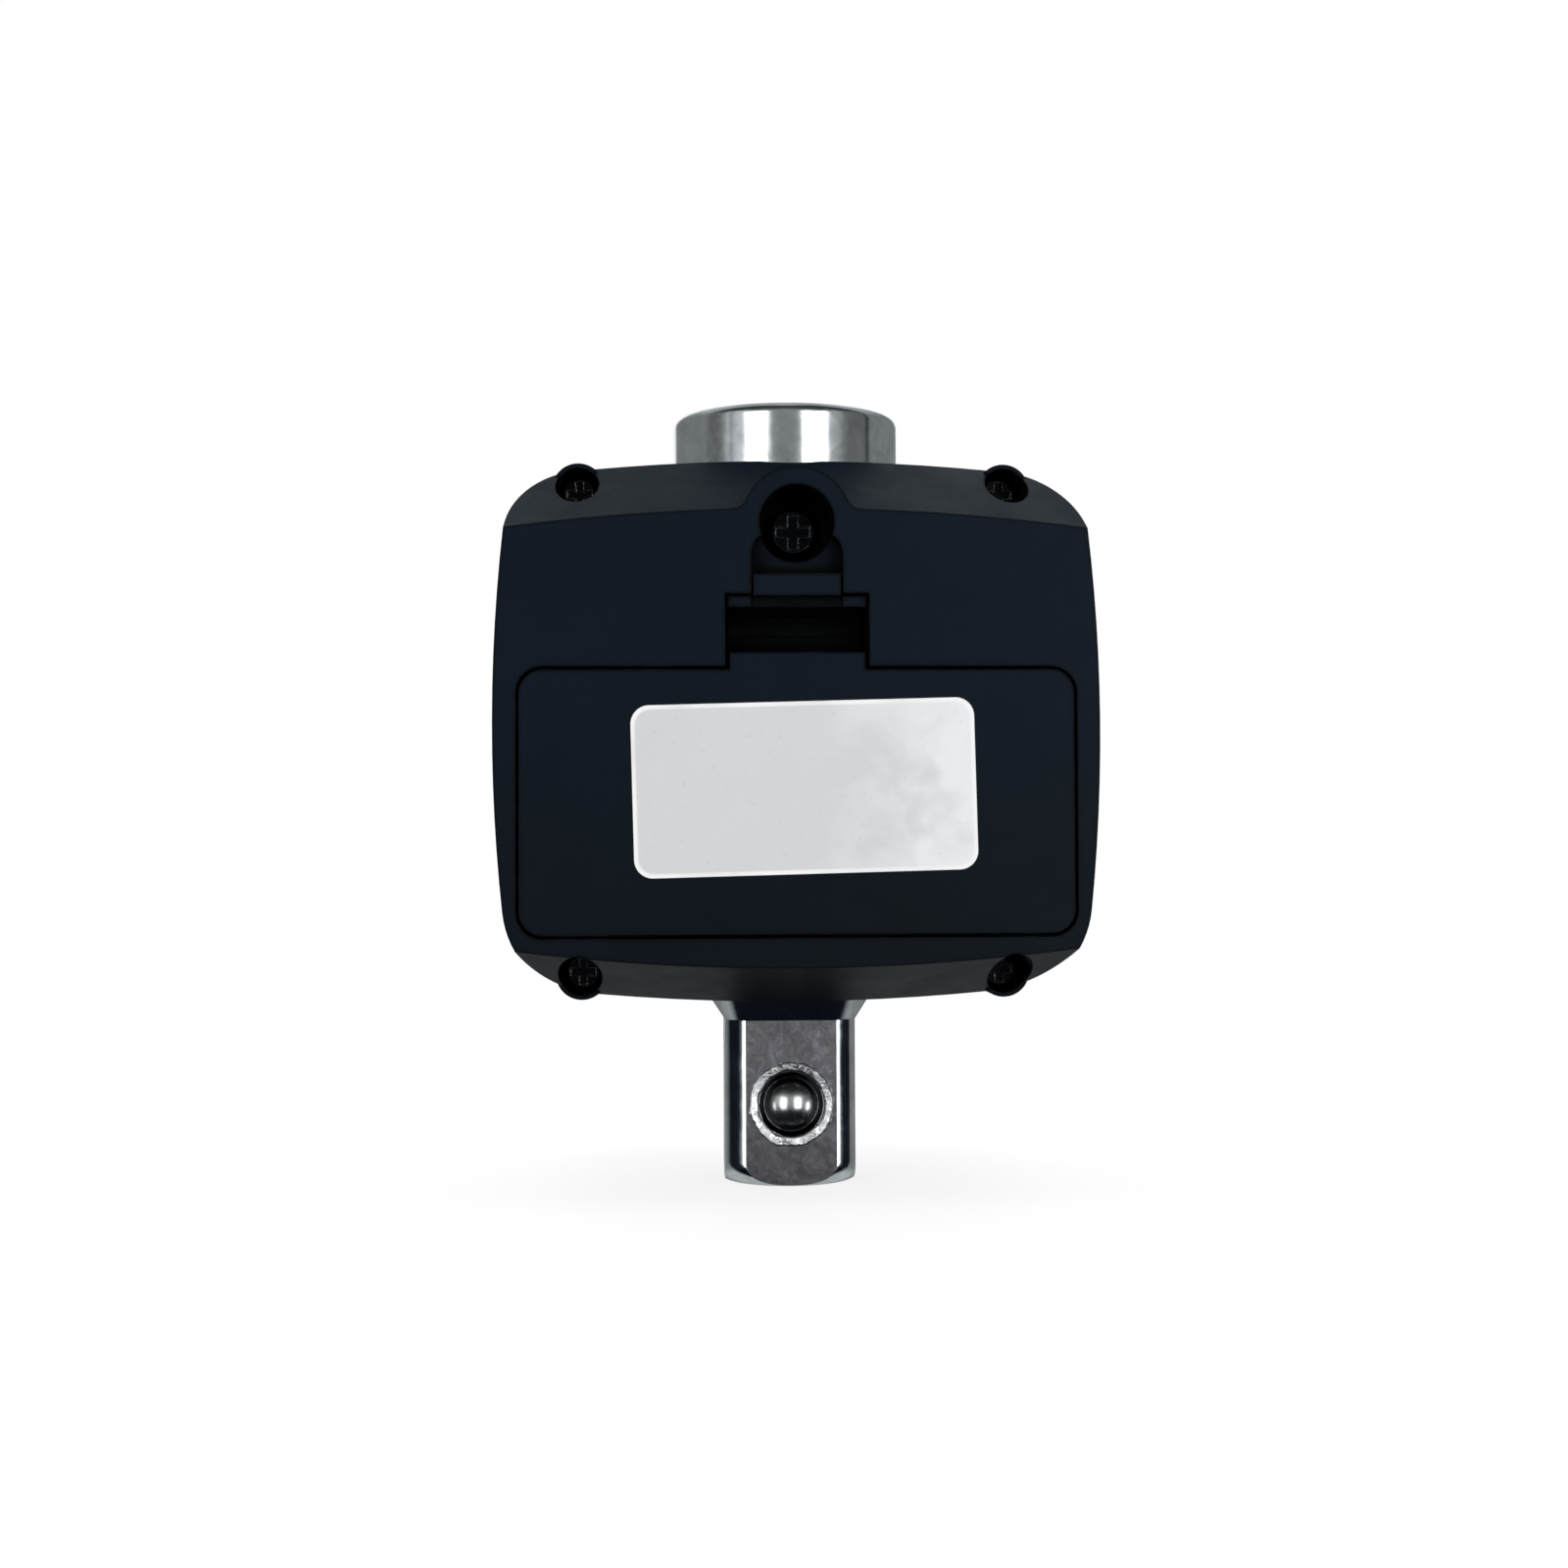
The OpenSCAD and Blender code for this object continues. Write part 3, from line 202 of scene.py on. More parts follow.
class Tree:
    """The node tree of a material or a world."""

    def __init__(self, owner, out_kind):
        owner.use_nodes = True
        self.node_tree = owner.node_tree
        self.node_tree.nodes.clear()
        self.out = self.add(out_kind)

    def add(self, kind, **settings):
        node = self.node_tree.nodes.new(kind)
        for key, value in settings.items():
            setattr(node, key, value)
        return node

    def feed(self, value, socket):
        """Links a socket to another, or sets it to a number, a vector or a colour."""
        if isinstance(value, bpy.types.NodeSocket):
            self.node_tree.links.new(value, socket)
        elif socket.type == "RGBA":
            socket.default_value = (*value, 1)
        else:
            socket.default_value = value

    def feed_all(self, node, **sockets):
        """Feeds a node's sockets by name, with _ for a space."""
        for key, value in sockets.items():
            self.feed(value, node.inputs[key.replace("_", " ")])
        return node

    def maths(self, operation, *values):
        node = self.add("ShaderNodeMath", operation=operation)
        for value, socket in zip(values, node.inputs):
            self.feed(value, socket)
        return node.outputs["Value"]

    def times(self, first, second):
        return self.maths("MULTIPLY", first, second)

    def plus(self, first, second):
        return self.maths("ADD", first, second)

    def minus(self, first, second):
        return self.maths("SUBTRACT", first, second)

    def larger(self, first, second):
        return self.maths("MAXIMUM", first, second)

    def absolute(self, value):
        return self.maths("ABSOLUTE", value)

    def vector_maths(self, operation, *values, output="Vector"):
        node = self.add("ShaderNodeVectorMath", operation=operation)
        for value, socket in zip(values, node.inputs):
            self.feed(value, socket)
        return node.outputs[output]

    def span(self, source, low, high, to_low=0.0, to_high=1.0, smooth=False):
        """Carries low to high over into to_low to to_high, and goes no further at either end."""
        kind = "SMOOTHSTEP" if smooth else "LINEAR"
        node = self.add("ShaderNodeMapRange", interpolation_type=kind)
        self.feed_all(node, Value=source, From_Min=low, From_Max=high, To_Min=to_low, To_Max=to_high)
        return node.outputs["Result"]

    def vary(self, noise, low, high):
        """Drifts from low to high with a noise, most of which lies within NOISE_SPREAD."""
        return self.span(noise, *NOISE_SPREAD, low, high)

    def shader(self, kind, **sockets):
        """Result of a shader node with some of its sockets fed."""
        return self.feed_all(self.add(kind), **sockets).outputs[0]

    def either(self, factor, first, second):
        """Shader that goes from the first to the second as the factor goes from 0 to 1."""
        node = self.add("ShaderNodeMixShader")
        for value, socket in zip((factor, first, second), node.inputs):
            self.feed(value, socket)
        return node.outputs[0]


class Look(Tree):
    """A material of the object: one Principled shader, painted by places on the object."""

    def __init__(self, name, **sockets):
        self.material = bpy.data.materials.new(name)
        super().__init__(self.material, "ShaderNodeOutputMaterial")
        self.bsdf = self.feed_all(self.add("ShaderNodeBsdfPrincipled"), **sockets)
        self.feed(self.bsdf.outputs["BSDF"], self.out.inputs["Surface"])
        self.place = self.add("ShaderNodeTexCoord")

    def axes(self, output="Object"):
        """X, Y and Z of the place, or with output Normal of the direction that the surface faces."""
        node = self.feed_all(self.add("ShaderNodeSeparateXYZ"), Vector=self.place.outputs[output])
        return [node.outputs[axis] for axis in "XYZ"]

    def mapped(self, scale=(1, 1, 1), turn=(0, 0, 0), offset=(0, 0, 0)):
        """The place, scaled, then turned about the axes, then moved."""
        node = self.add("ShaderNodeMapping")
        place = self.place.outputs["Object"]
        self.feed_all(node, Vector=place, Scale=scale, Rotation=turn, Location=offset)
        return node.outputs["Vector"]

    def noise(self, scale, detail=3.0, rough=0.5, distortion=0.0, where=None):
        """Noise whose lumps are about 1 / scale metres."""
        node = self.add("ShaderNodeTexNoise")
        place = self.place.outputs["Object"] if where is None else where
        self.feed_all(node, Vector=place, Scale=scale, Detail=detail)
        self.feed_all(node, Roughness=rough, Distortion=distortion)
        return node.outputs["Fac"]

    def mix(self, factor, first, second):
        """Colour that goes from the first to the second as the factor goes from 0 to 1."""
        node = self.feed_all(self.add("ShaderNodeMix", data_type="RGBA"), Factor=factor)
        ends = [socket for socket in node.inputs if socket.type == "RGBA"]
        for value, socket in zip((first, second), ends):
            self.feed(value, socket)
        return [socket for socket in node.outputs if socket.type == "RGBA"][0]

    def edge_mask(self, radius, gain=2.0):
        """1 near sharp edges, 0 on flat faces; a higher gain marks blunter edges too."""
        rounded = self.feed_all(self.add("ShaderNodeBevel", samples=4), Radius=radius)
        faceted = self.add("ShaderNodeNewGeometry")
        normals = (rounded.outputs["Normal"], faceted.outputs["Normal"])
        match = self.vector_maths("DOT_PRODUCT", *normals, output="Value")
        return self.span(match, 1.0, 1.0 - EDGE_DROP / gain)

    def hollow_mask(self, reach):
        """1 deep in recesses and seams, 0 in the open; it marks where shade is painted in."""
        shade = self.feed_all(self.add("ShaderNodeAmbientOcclusion", samples=6), Distance=reach)
        return self.span(shade.outputs["AO"], *HOLLOW_LIGHT)

    def finished(self, colour, rough, heights, bevel_radius=0.0):
        """The material, with bumps (height, strength, depth in metres) over rounded edges."""
        self.feed_all(self.bsdf, Base_Color=colour, Roughness=rough)
        normal = None
        if bevel_radius:
            bevel = self.feed_all(self.add("ShaderNodeBevel", samples=6), Radius=bevel_radius)
            normal = bevel.outputs["Normal"]
        for height, strength, depth in heights:
            bump = self.add("ShaderNodeBump")
            self.feed_all(bump, Height=height, Strength=strength, Distance=depth)
            if normal is not None:
                self.feed(normal, bump.inputs["Normal"])
            normal = bump.outputs["Normal"]
        self.feed(normal, self.bsdf.inputs["Normal"])
        return self.material


def toned(colour, share):
    """A colour times a share, which is one number or one for each channel."""
    shares = share if isinstance(share, tuple) else (share, share, share)
    return [min(1, channel * part) for channel, part in zip(colour, shares)]


# Black plastic

def trough_mask(look):
    """1 inside the latch trough, which hardly any light reaches; it marks where shade is painted in.
    """
    x, y, z = look.axes()
    across = look.times(look.span(look.absolute(x), *TROUGH_SIDE), look.span(y, *TROUGH_DEPTH))
    return look.times(look.times(across, look.span(z, *TROUGH_FOOT)), look.span(z, *TROUGH_TOP))


def handling_marks(look):
    """1 on faint upright and level scratches, which come in patches."""
    upright = look.noise(1.0, detail=2, distortion=0.2, where=look.mapped(*UPRIGHT_GRAIN))
    across = look.noise(1.0, detail=2, distortion=0.2, where=look.mapped(*ACROSS_GRAIN))
    lines = look.larger(look.span(upright, *UPRIGHT_LEVELS), look.span(across, *ACROSS_LEVELS))
    return look.times(lines, look.span(look.noise(45, detail=2), *SCRATCHED_LEVELS))


def black_moulding():
    """Matte black moulded plastic: eroded grain, painted shade in hollows and along edges, edges
    lightened partly by wear and partly as a painted highlight, handling marks.
    """
    look = Look("housing_plastic_look", IOR=1.46, Specular_IOR_Level=0.12, Specular_Tint=BODY_TINT)
    cloud = look.noise(75, detail=9, rough=0.74)
    grain = look.noise(5200, detail=2)
    smudge = look.noise(210, detail=5, rough=0.65, distortion=0.6)
    low = look.mix(cloud, *[toned(BODY_BLACK, share) for share in BODY_LOW_SHARES])
    high = look.mix(cloud, *[toned(BODY_BLACK, share) for share in BODY_HIGH_SHARES])
    base = look.mix(look.span(look.axes()[2], *BODY_FADE, smooth=True), low, high)
    # Painted shade: a dark band along edges and creases.
    edge_shaded = look.mix(look.edge_mask(EDGE_SHADE_RADIUS, gain=4.0), base, toned(BODY_BLACK, BODY_EDGE_SHADE_SHARE))
    # Edges lightened in patches: partly wear, partly a painted highlight.
    wear_and_highlight = look.times(look.edge_mask(WORN_HIGHLIGHT_RADIUS), look.span(smudge, *WORN_HIGHLIGHT_LEVELS))
    open_face = look.mix(wear_and_highlight, edge_shaded, BODY_WEAR_AND_HIGHLIGHT)
    hollow = look.larger(look.hollow_mask(HOLLOW_REACH), trough_mask(look))
    # Painted shade: recesses, seams and the latch trough are darkened nearly to black.
    colour = look.mix(hollow, open_face, toned(BODY_BLACK, BODY_HOLLOW_SHADE_SHARE))
    marks = handling_marks(look)
    matte = look.plus(look.vary(smudge, *BODY_ROUGH), look.times(hollow, HOLLOW_ROUGHER))
    rough = look.minus(matte, look.times(marks, MARK_SMOOTHER))
    return look.finished(colour, rough, [(grain, *BODY_BUMP), (marks, *MARK_BUMP)], BODY_BEVEL)


# Steel of the shaft and its ball

def from_ball(look):
    """Place seen along the detent ball's travel, from the ball's centre."""
    return look.mapped((1, 0, 1), offset=(-BALL_AT.x, 0, -BALL_AT.z))


def flat_mask(look, square):
    """1 on the four flats of the male square, 0 on its turned corners and elsewhere."""
    across, deep, _ = look.axes("Normal")
    facing = look.larger(look.absolute(across), look.absolute(deep))
    return look.times(look.span(facing, *FLAT_FACING), square)


def ground_colour(look, tone):
    """Colour of the ground flats: clouded, and darker at the tip."""
    share = look.span(tone, *TONE_LEVELS)
    above_tip = look.span(look.axes()[2], *SQUARE_FADE, smooth=True)
    return look.mix(above_tip, look.mix(share, *STEEL_TIP), look.mix(share, *STEEL_GROUND))


def burr_mask(look, around, front):
    """1 on the uneven ring of metal that is beaten over the ball to keep it in."""
    reach = look.plus(around, look.vary(look.noise(520, detail=4, rough=0.65), *BURR_WANDER))
    band = look.times(look.span(reach, *BURR_INNER), look.span(reach, *BURR_OUTER))
    return look.times(band, front)


def burr_light_and_shade(look, around, beaten):
    """Colour of that ring: a painted highlight at its lower left, painted shade at its upper right."""
    lean = look.vector_maths("DOT_PRODUCT", from_ball(look), BURR_LIT_WAY, output="Value")
    side = look.plus(look.maths("DIVIDE", lean, around), look.span(beaten, *BEATEN_WANDER))
    return look.mix(look.span(side, *BURR_LIT_LIMITS), *STEEL_BURR_SHADE_TO_HIGHLIGHT)


def drive_steel():
    """Plated steel: cloudy bright head and corners, darker ground flats on the male square, painted
    shade round the ball, and painted highlights on the ring that holds it and on the square's edges.
    """
    look = Look("drive_steel_look", Metallic=1.0)
    deep, height = look.axes()[1:]
    head = look.span(height, *HEAD_FOOT)
    square = look.span(height, *SQUARE_TOP)
    flat = flat_mask(look, square)
    front = look.times(look.span(deep, *SQUARE_FRONT), square)
    cloud = look.noise(300, detail=5, rough=0.66, distortion=0.8)
    swirl = look.noise(680, detail=6, rough=0.7, distortion=1.1)
    brushed = look.noise(1.0, rough=0.6, distortion=0.4, where=look.mapped(*BRUSHED_GRAIN))
    tone = look.plus(look.times(swirl, SWIRL_SHARE), look.times(brushed, 1 - SWIRL_SHARE))
    beaten = look.noise(900, detail=4, rough=0.7, distortion=1.2)
    around = look.vector_maths("LENGTH", from_ball(look), output="Value")
    burr = burr_mask(look, around, front)
    # Painted shade in the recess round the ball.
    gutter_shade = look.times(look.span(around, *GUTTER_RADIUS), front)

    ground = look.mix(burr, ground_colour(look, tone), burr_light_and_shade(look, around, beaten))
    plated = look.mix(look.vary(cloud, 0, 1), *STEEL_PLATED)
    whole = look.mix(gutter_shade, look.mix(flat, plated, ground), STEEL_GUTTER_SHADE)
    # Edges of the square lightened: partly rubbed metal, partly a painted highlight.
    colour = look.mix(look.times(look.edge_mask(RUBBED_HIGHLIGHT_RADIUS), square), whole, STEEL_RUBBED_HIGHLIGHT)

    ground_rough = look.span(tone, *GROUND_ROUGH)
    plated_rough = look.plus(look.vary(cloud, *PLATED_ROUGH), look.times(head, HEAD_ROUGHER))
    rough = look.plus(plated_rough, look.times(look.minus(ground_rough, plated_rough), flat))
    rough = look.plus(rough, look.times(burr, BURR_ROUGHER))

    waves = look.times(swirl, flat)
    grain = look.noise(5200, detail=2)
    peel = look.times(look.noise(1000), head)
    dents = look.times(beaten, burr)
    heights = [(waves, *WAVE_BUMP), (grain, *STEEL_BUMP), (peel, *PEEL_BUMP), (dents, *DENT_BUMP)]
    return look.finished(colour, rough, heights, STEEL_BEVEL)


def detent_steel():
    """Polished ball, with painted shade round its rim where it sits in its pocket."""
    look = Look("ball_steel_look", Metallic=1.0)
    around = look.vector_maths("LENGTH", from_ball(look), output="Value")
    cloud = look.noise(900, detail=4, rough=0.6, distortion=0.3)
    bright = look.mix(cloud, *BALL_BRIGHT)
    colour = look.mix(look.span(around, *BALL_SHADED_RIM, smooth=True), bright, BALL_RIM_SHADE)
    return look.finished(colour, look.vary(cloud, *BALL_ROUGH), [(cloud, *BALL_BUMP)])


# Label

def label_rim_highlight(look, centre, half):
    """1 on a narrow band inside the label's rounded, slightly tilted outline, where a white highlight
    is painted.
    """
    lean = math.tan(LABEL_TILT)
    shrink = math.cos(LABEL_TILT) * (1 - lean ** 2)
    wide = (half.x - half.z * lean) / shrink
    tall = (half.z - half.x * lean) / shrink
    to_centre = Matrix.Rotation(LABEL_TILT, 3, "Y") @ -Vector((centre.x, 0, centre.z))
    away = look.vector_maths("ABSOLUTE", look.mapped(turn=(0, LABEL_TILT, 0), offset=to_centre))
    past = look.vector_maths("SUBTRACT", away, (wide - LABEL_CORNER, 1, tall - LABEL_CORNER))
    reach = look.vector_maths("LENGTH", look.vector_maths("MAXIMUM", past, (0, 0, 0)), output="Value")
    return look.span(reach, *LABEL_RIM)


def label_pale(look, centre, half, right):
    """1 at the label's right end and along the right half's long sides, with wavy limits."""
    x, _, z = look.axes()
    along = look.plus(x, look.vary(look.noise(230, detail=2), *LABEL_END_WANDER))
    from_middle = look.absolute(look.minus(z, centre.z))
    across = look.plus(from_middle, look.vary(look.noise(210, detail=2), *LABEL_BAND_WANDER))
    end = look.span(along, *[centre.x + half.x - gap for gap in LABEL_END], smooth=True)
    bands = look.span(across, *[half.z - gap for gap in LABEL_BAND], 0, LABEL_BAND_SHARE, smooth=True)
    return look.larger(end, look.times(bands, right))


def label_film():
    """Bare silver label: mottled, paler towards its right end, with a broken white highlight painted
    round its rim.
    """
    look = Look("label_film_look", Specular_IOR_Level=0.35)
    centre, half = middle("label")
    limits = [centre.x + share * half.x for share in LABEL_RIGHT_SHARES]
    right = look.span(look.axes()[0], *limits, smooth=True)
    cloud = look.noise(150, distortion=0.3)
    fleck = look.noise(1500, rough=0.6)
    blot = look.times(look.span(cloud, *BLOT_LEVELS, smooth=True), right)
    mottled = look.mix(blot, look.mix(cloud, *LABEL_BASE), LABEL_BLOT)
    light = look.mix(label_pale(look, centre, half, right), mottled, LABEL_PALE)
    tone = look.mix(look.span(fleck, *SPECK_LEVELS), light, LABEL_SPECK)
    # Painted highlight: a broken white line just inside the label's rim.
    edge_highlight = look.times(label_rim_highlight(look, centre, half), look.span(cloud, *RIM_HIGHLIGHT_LEVELS))
    colour = look.mix(edge_highlight, tone, LABEL_RIM_HIGHLIGHT)
    heights = [(cloud, *MOTTLE_BUMP), (fleck, *FLECK_BUMP)]
    return look.finished(colour, look.vary(cloud, *LABEL_ROUGH), heights)


# Display

def border_mask(look, node, gaps):
    """1 round the rim of a flat upright piece, with limits given by their gaps from the rim."""
    centre, half = middle(node)
    x, _, z = look.axes()
    across = look.span(look.absolute(look.minus(x, centre.x)), *[half.x - gap for gap in gaps])
    upright = look.span(look.absolute(look.minus(z, centre.z)), *[half.z - gap for gap in gaps])
    return look.larger(across, upright)


def clear_lens():
    """Clear window with a black border printed round its inside."""
    look = Look("clear_lens_look", IOR=1.49, Transmission_Weight=1.0)
    haze = look.noise(300, rough=0.6)
    border = border_mask(look, "lcd_lens", LENS_BORDER)
    colour = look.mix(border, look.mix(haze, *LENS_CLEAR), LENS_BLACK)
    return look.finished(colour, look.span(haze, *LENS_ROUGH), [(haze, *LENS_BUMP)], LENS_BEVEL)


def display_glass():
    """Switched off grey green display, with its border a little darker."""
    look = Look("display_glass_look")
    fine = look.noise(900)
    border = border_mask(look, "lcd_glass", GLASS_BORDER)
    colour = look.mix(border, look.mix(fine, *GLASS_AREA), GLASS_RIM)
    return look.finished(colour, look.vary(fine, *GLASS_ROUGH), [(fine, *GLASS_BUMP)])


def led_look(name, colour):
    """Tinted clear plastic."""
    look = Look(name, IOR=1.5, Transmission_Weight=0.55)
    cloud = look.noise(500)
    tint = look.mix(cloud, toned(colour, LED_SHARE), colour)
    return look.finished(tint, look.vary(cloud, *LED_ROUGH), [(cloud, *LED_BUMP)])


# Inside

def circuit_board():
    """Green board with copper lines under its coating."""
    look = Look("circuit_board_look")
    lines = look.add("ShaderNodeTexBrick")
    look.feed_all(lines, Vector=look.mapped(*BOARD_GRAIN), Scale=1.0, Mortar_Size=BOARD_LINE_WIDTH)
    copper = lines.outputs["Fac"]
    colour = look.mix(look.span(copper, *BOARD_LINE_LEVELS), *BOARD_GREEN)
    rough = look.vary(look.noise(1600), *BOARD_ROUGH)
    return look.finished(colour, rough, [(copper, *BOARD_BUMP)], PART_BEVEL)


def battery_can():
    """Plain cell: sleeve in two colours, bare metal at both ends."""
    look = Look("battery_can_look")
    along = look.absolute(look.axes()[0])
    bare = look.span(along, *CELL_BARE_END)
    sleeve = look.mix(look.span(along, *CELL_RING), *CELL_SLEEVE)
    cloud = look.noise(300)
    look.feed(bare, look.bsdf.inputs["Metallic"])
    colour = look.mix(bare, sleeve, CELL_METAL)
    return look.finished(colour, look.vary(cloud, *CELL_ROUGH), [(cloud, *CELL_BUMP)], CELL_BEVEL)


# Small parts

def metal(name, colour, rough, grain=1800, bevel=PART_BEVEL, depth=METAL_DEPTH, edge_glint=None):
    """Plated or ground metal with small marks, and, if a brightness is given, glints painted on its
    edges at that brightness.
    """
    look = Look(name, Metallic=1.0)
    cloud = look.noise(260, detail=4, rough=0.6, distortion=0.3)
    fine = look.noise(grain, rough=0.6)
    face = look.mix(cloud, *[toned(colour, share) for share in METAL_SHARES])
    if edge_glint:
        # Painted glints along the edges.
        edge_highlight = look.times(look.edge_mask(METAL_GLINT_RADIUS), look.span(fine, *METAL_GLINT_LEVELS))
        face = look.mix(edge_highlight, face, (edge_glint, edge_glint, edge_glint))
    level = look.vary(cloud, rough - METAL_ROUGH_DRIFT, rough + METAL_ROUGH_DRIFT)
    return look.finished(face, level, [(fine, METAL_STRENGTH, depth)], bevel)


def plain(name, colour, rough, grain=2500, strength=0.15, bevel=PART_BEVEL):
    """Moulded or coated small part: slight colour drift, fine grain, rounded edges."""
    look = Look(name)
    cloud = look.noise(420, rough=0.55)
    fine = look.noise(grain, detail=2)
    face = look.mix(cloud, *[toned(colour, share) for share in PLAIN_SHARES])
    level = look.vary(fine, rough - PLAIN_ROUGH_DRIFT, rough + PLAIN_ROUGH_DRIFT)
    return look.finished(face, level, [(fine, strength, PLAIN_DEPTH)], bevel)


def rubber(name, colour):
    """Soft key with well rounded edges."""
    return plain(name, colour, 0.55, grain=4200, strength=0.35, bevel=KEY_BEVEL)


def black_screw():
    """Dark screw with glints painted on its edges."""
    return metal("black_screw_look", SCREW_BLACK, 0.2, 2600, SCREW_BEVEL, SCREW_DEPTH, SCREW_GLINT)


looks = {
    "housing_plastic": black_moulding(),
    "label_film": label_film(),
    "drive_steel": drive_steel(),
    "ball_steel": detent_steel(),
    "spring_steel": metal("spring_steel_look", (0.55, 0.55, 0.57), 0.22),
    "gauge_foil": plain("gauge_foil_look", (0.62, 0.33, 0.09), 0.35, grain=3000, strength=0.2),
    "gauge_wire": metal("gauge_wire_look", (0.75, 0.62, 0.28), 0.25),
    "black_screw": black_screw(),
    "clear_lens": clear_lens(),
    "display_glass": display_glass(),
    "diffuser": plain("diffuser_look", (0.86, 0.86, 0.83), 0.5),
    "zebra_rubber": plain("zebra_rubber_look", (0.72, 0.32, 0.34), 0.6),
    "circuit_board": circuit_board(),
    "zinc_screw": metal("zinc_screw_look", (0.62, 0.62, 0.64), 0.28),
    "chip_plastic": plain("chip_plastic_look", (0.022, 0.022, 0.024), 0.5, grain=3500, strength=0.3),
    "led_green": led_look("led_green_look", (0.08, 0.50, 0.14)),
    "led_red": led_look("led_red_look", (0.62, 0.035, 0.03)),
    "mat_rubber": plain("mat_rubber_look", (0.16, 0.16, 0.17), 0.6, grain=2800, strength=0.3),
    "key_power_rubber": rubber("key_power_rubber_look", (0.40, 0.035, 0.025)),
    "key_rubber": rubber("key_rubber_look", (0.15, 0.155, 0.17)),
    "battery_can": battery_can(),
    "contact_metal": metal("contact_metal_look", (0.68, 0.67, 0.66), 0.24),
    "red_insulation": plain("red_insulation_look", (0.55, 0.02, 0.015), 0.4),
    "black_insulation": plain("black_insulation_look", (0.015, 0.015, 0.015), 0.4),
}
slot_of = {part["node"]: part["material_slot"] for part in frame["record"]["subparts"]}
for name, node in nodes.items():
    node.data.materials.clear()
    node.data.materials.append(looks[slot_of[name]])


# Studio: all staged, none of it part of the object. Azimuth 0 is the photographed side (-Y),
# angles grow towards +X and upwards, and they are in degrees.

FLOOR_RADIUS = 1.6
FLOOR_SIDES = 64
FLOOR_FADE = (0.06, 0.30)
FLOOR_GREY = (0.24, 0.24, 0.24)
FLOOR_BOUNCE = (0.8, 0.8, 0.8)
FLOOR_GLOW = 0.82
SKY_GREY = (0.55, 0.55, 0.555)
SKY_WHITE = (1, 1, 1)
ROOM_RADIUS = 1.7
ROOM_COLOUR = (0.95, 1.0, 1.02, 1)
ROOM_DARK_COLOUR = (0.75, 1.02, 1.6, 1)
ROOM_DARK, ROOM_BRIGHT = 0.01, 0.05
ROOM_ROWS = range(-90, 91, 2)
ROOM_COLUMNS = range(-180, 181)
# The room as polished metal sees it: (elevation, brightness) in front of the object and behind it
ROOM_FRONT = (
    (-90, 0.006), (-26, 0.006), (-19, 0.10), (-3, 0.27), (30, 0.25), (42, 0.05), (76, 0.06), (90, 0.5),
)
ROOM_BACK = (
    (-90, 0.50), (-38, 0.50), (-26, 0.26), (-20, 0.24), (30, 0.22), (44, 0.43), (90, 0.45),
)
BACK_BEGINS, BACK_FADE = 92, 12
# Patches drawn over it: side (-1 left, 1 right, 0 both), azimuth from and to, elevation from and to,
# brightness, width of the soft upright edges
PATCH_SOFT_UP = 4
PATCHES = {
    "side_dark": (0, 76, 100, -24, 3, 0.01, 3),
    "left_strip": (-1, 69.5, 75.5, -20, 3, 3.2, 1),
    "right_strip": (1, 66, 81, -20, 3, 3.2, 2),
    "left_wall": (-1, 42, 66, 2, 34, 0.62, 4),
    "left_door": (-1, 70, 90, 2, 34, 0.15, 5),
    "left_frame": (-1, 58, 61, 2, 34, 0.2, 1),
    "right_glow": (1, 42, 54, 2, 34, 0.40, 6),
    "right_wall": (1, 60, 86, 2, 34, 0.15, 8),
    "right_frame": (1, 87, 92.5, 2, 34, 0.004, 1),
    "back_windows": (0, 160, 171, -16, 48, 1.3, 4),
}
LAMP_AIM = Vector((0, 0, 42 * MM))
# Azimuth, elevation, distance, width, height, radiance, whether metal reflects it
LAMPS = {
    "key_left": (-31.8, 1, 0.6, 0.238, 0.46, 2.8, True),
    "key_right_inner": (20.9, 1, 0.6, 0.128, 0.46, 2.9, True),
    "key_right_outer": (34.8, 1, 0.6, 0.121, 0.46, 2.9, True),
    "top_light": (0, 88, 0.9, 0.8, 0.8, 1.25, False),
    "back_left": (-150, 40, 0.8, 0.4, 0.4, 1.8, False),
    "back_right": (150, 40, 0.8, 0.4, 0.4, 1.8, False),
}


def direction(azimuth, elevation):
    """Unit vector from the object towards a place in the room."""
    turn, rise = math.radians(azimuth), math.radians(elevation)
    level = Vector((math.sin(turn), -math.cos(turn), 0))
    return level * math.cos(rise) + Vector((0, 0, math.sin(rise)))


def staged_mesh(name, corners, faces, material):
    """Piece of the studio."""
    mesh = bpy.data.meshes.new(name)
    mesh.from_pydata(corners, [], faces)
    mesh.materials.append(material)
    piece = bpy.data.objects.new(name, mesh)
    scene.collection.objects.link(piece)
    return piece


def on_rays(tree, *kinds):
    """1 on rays of the given kinds, 0 on all others."""
    ray = tree.add("ShaderNodeLightPath").outputs
    found = ray[kinds[0]]
    for kind in kinds[1:]:
        found = tree.larger(found, ray[kind])
    return found


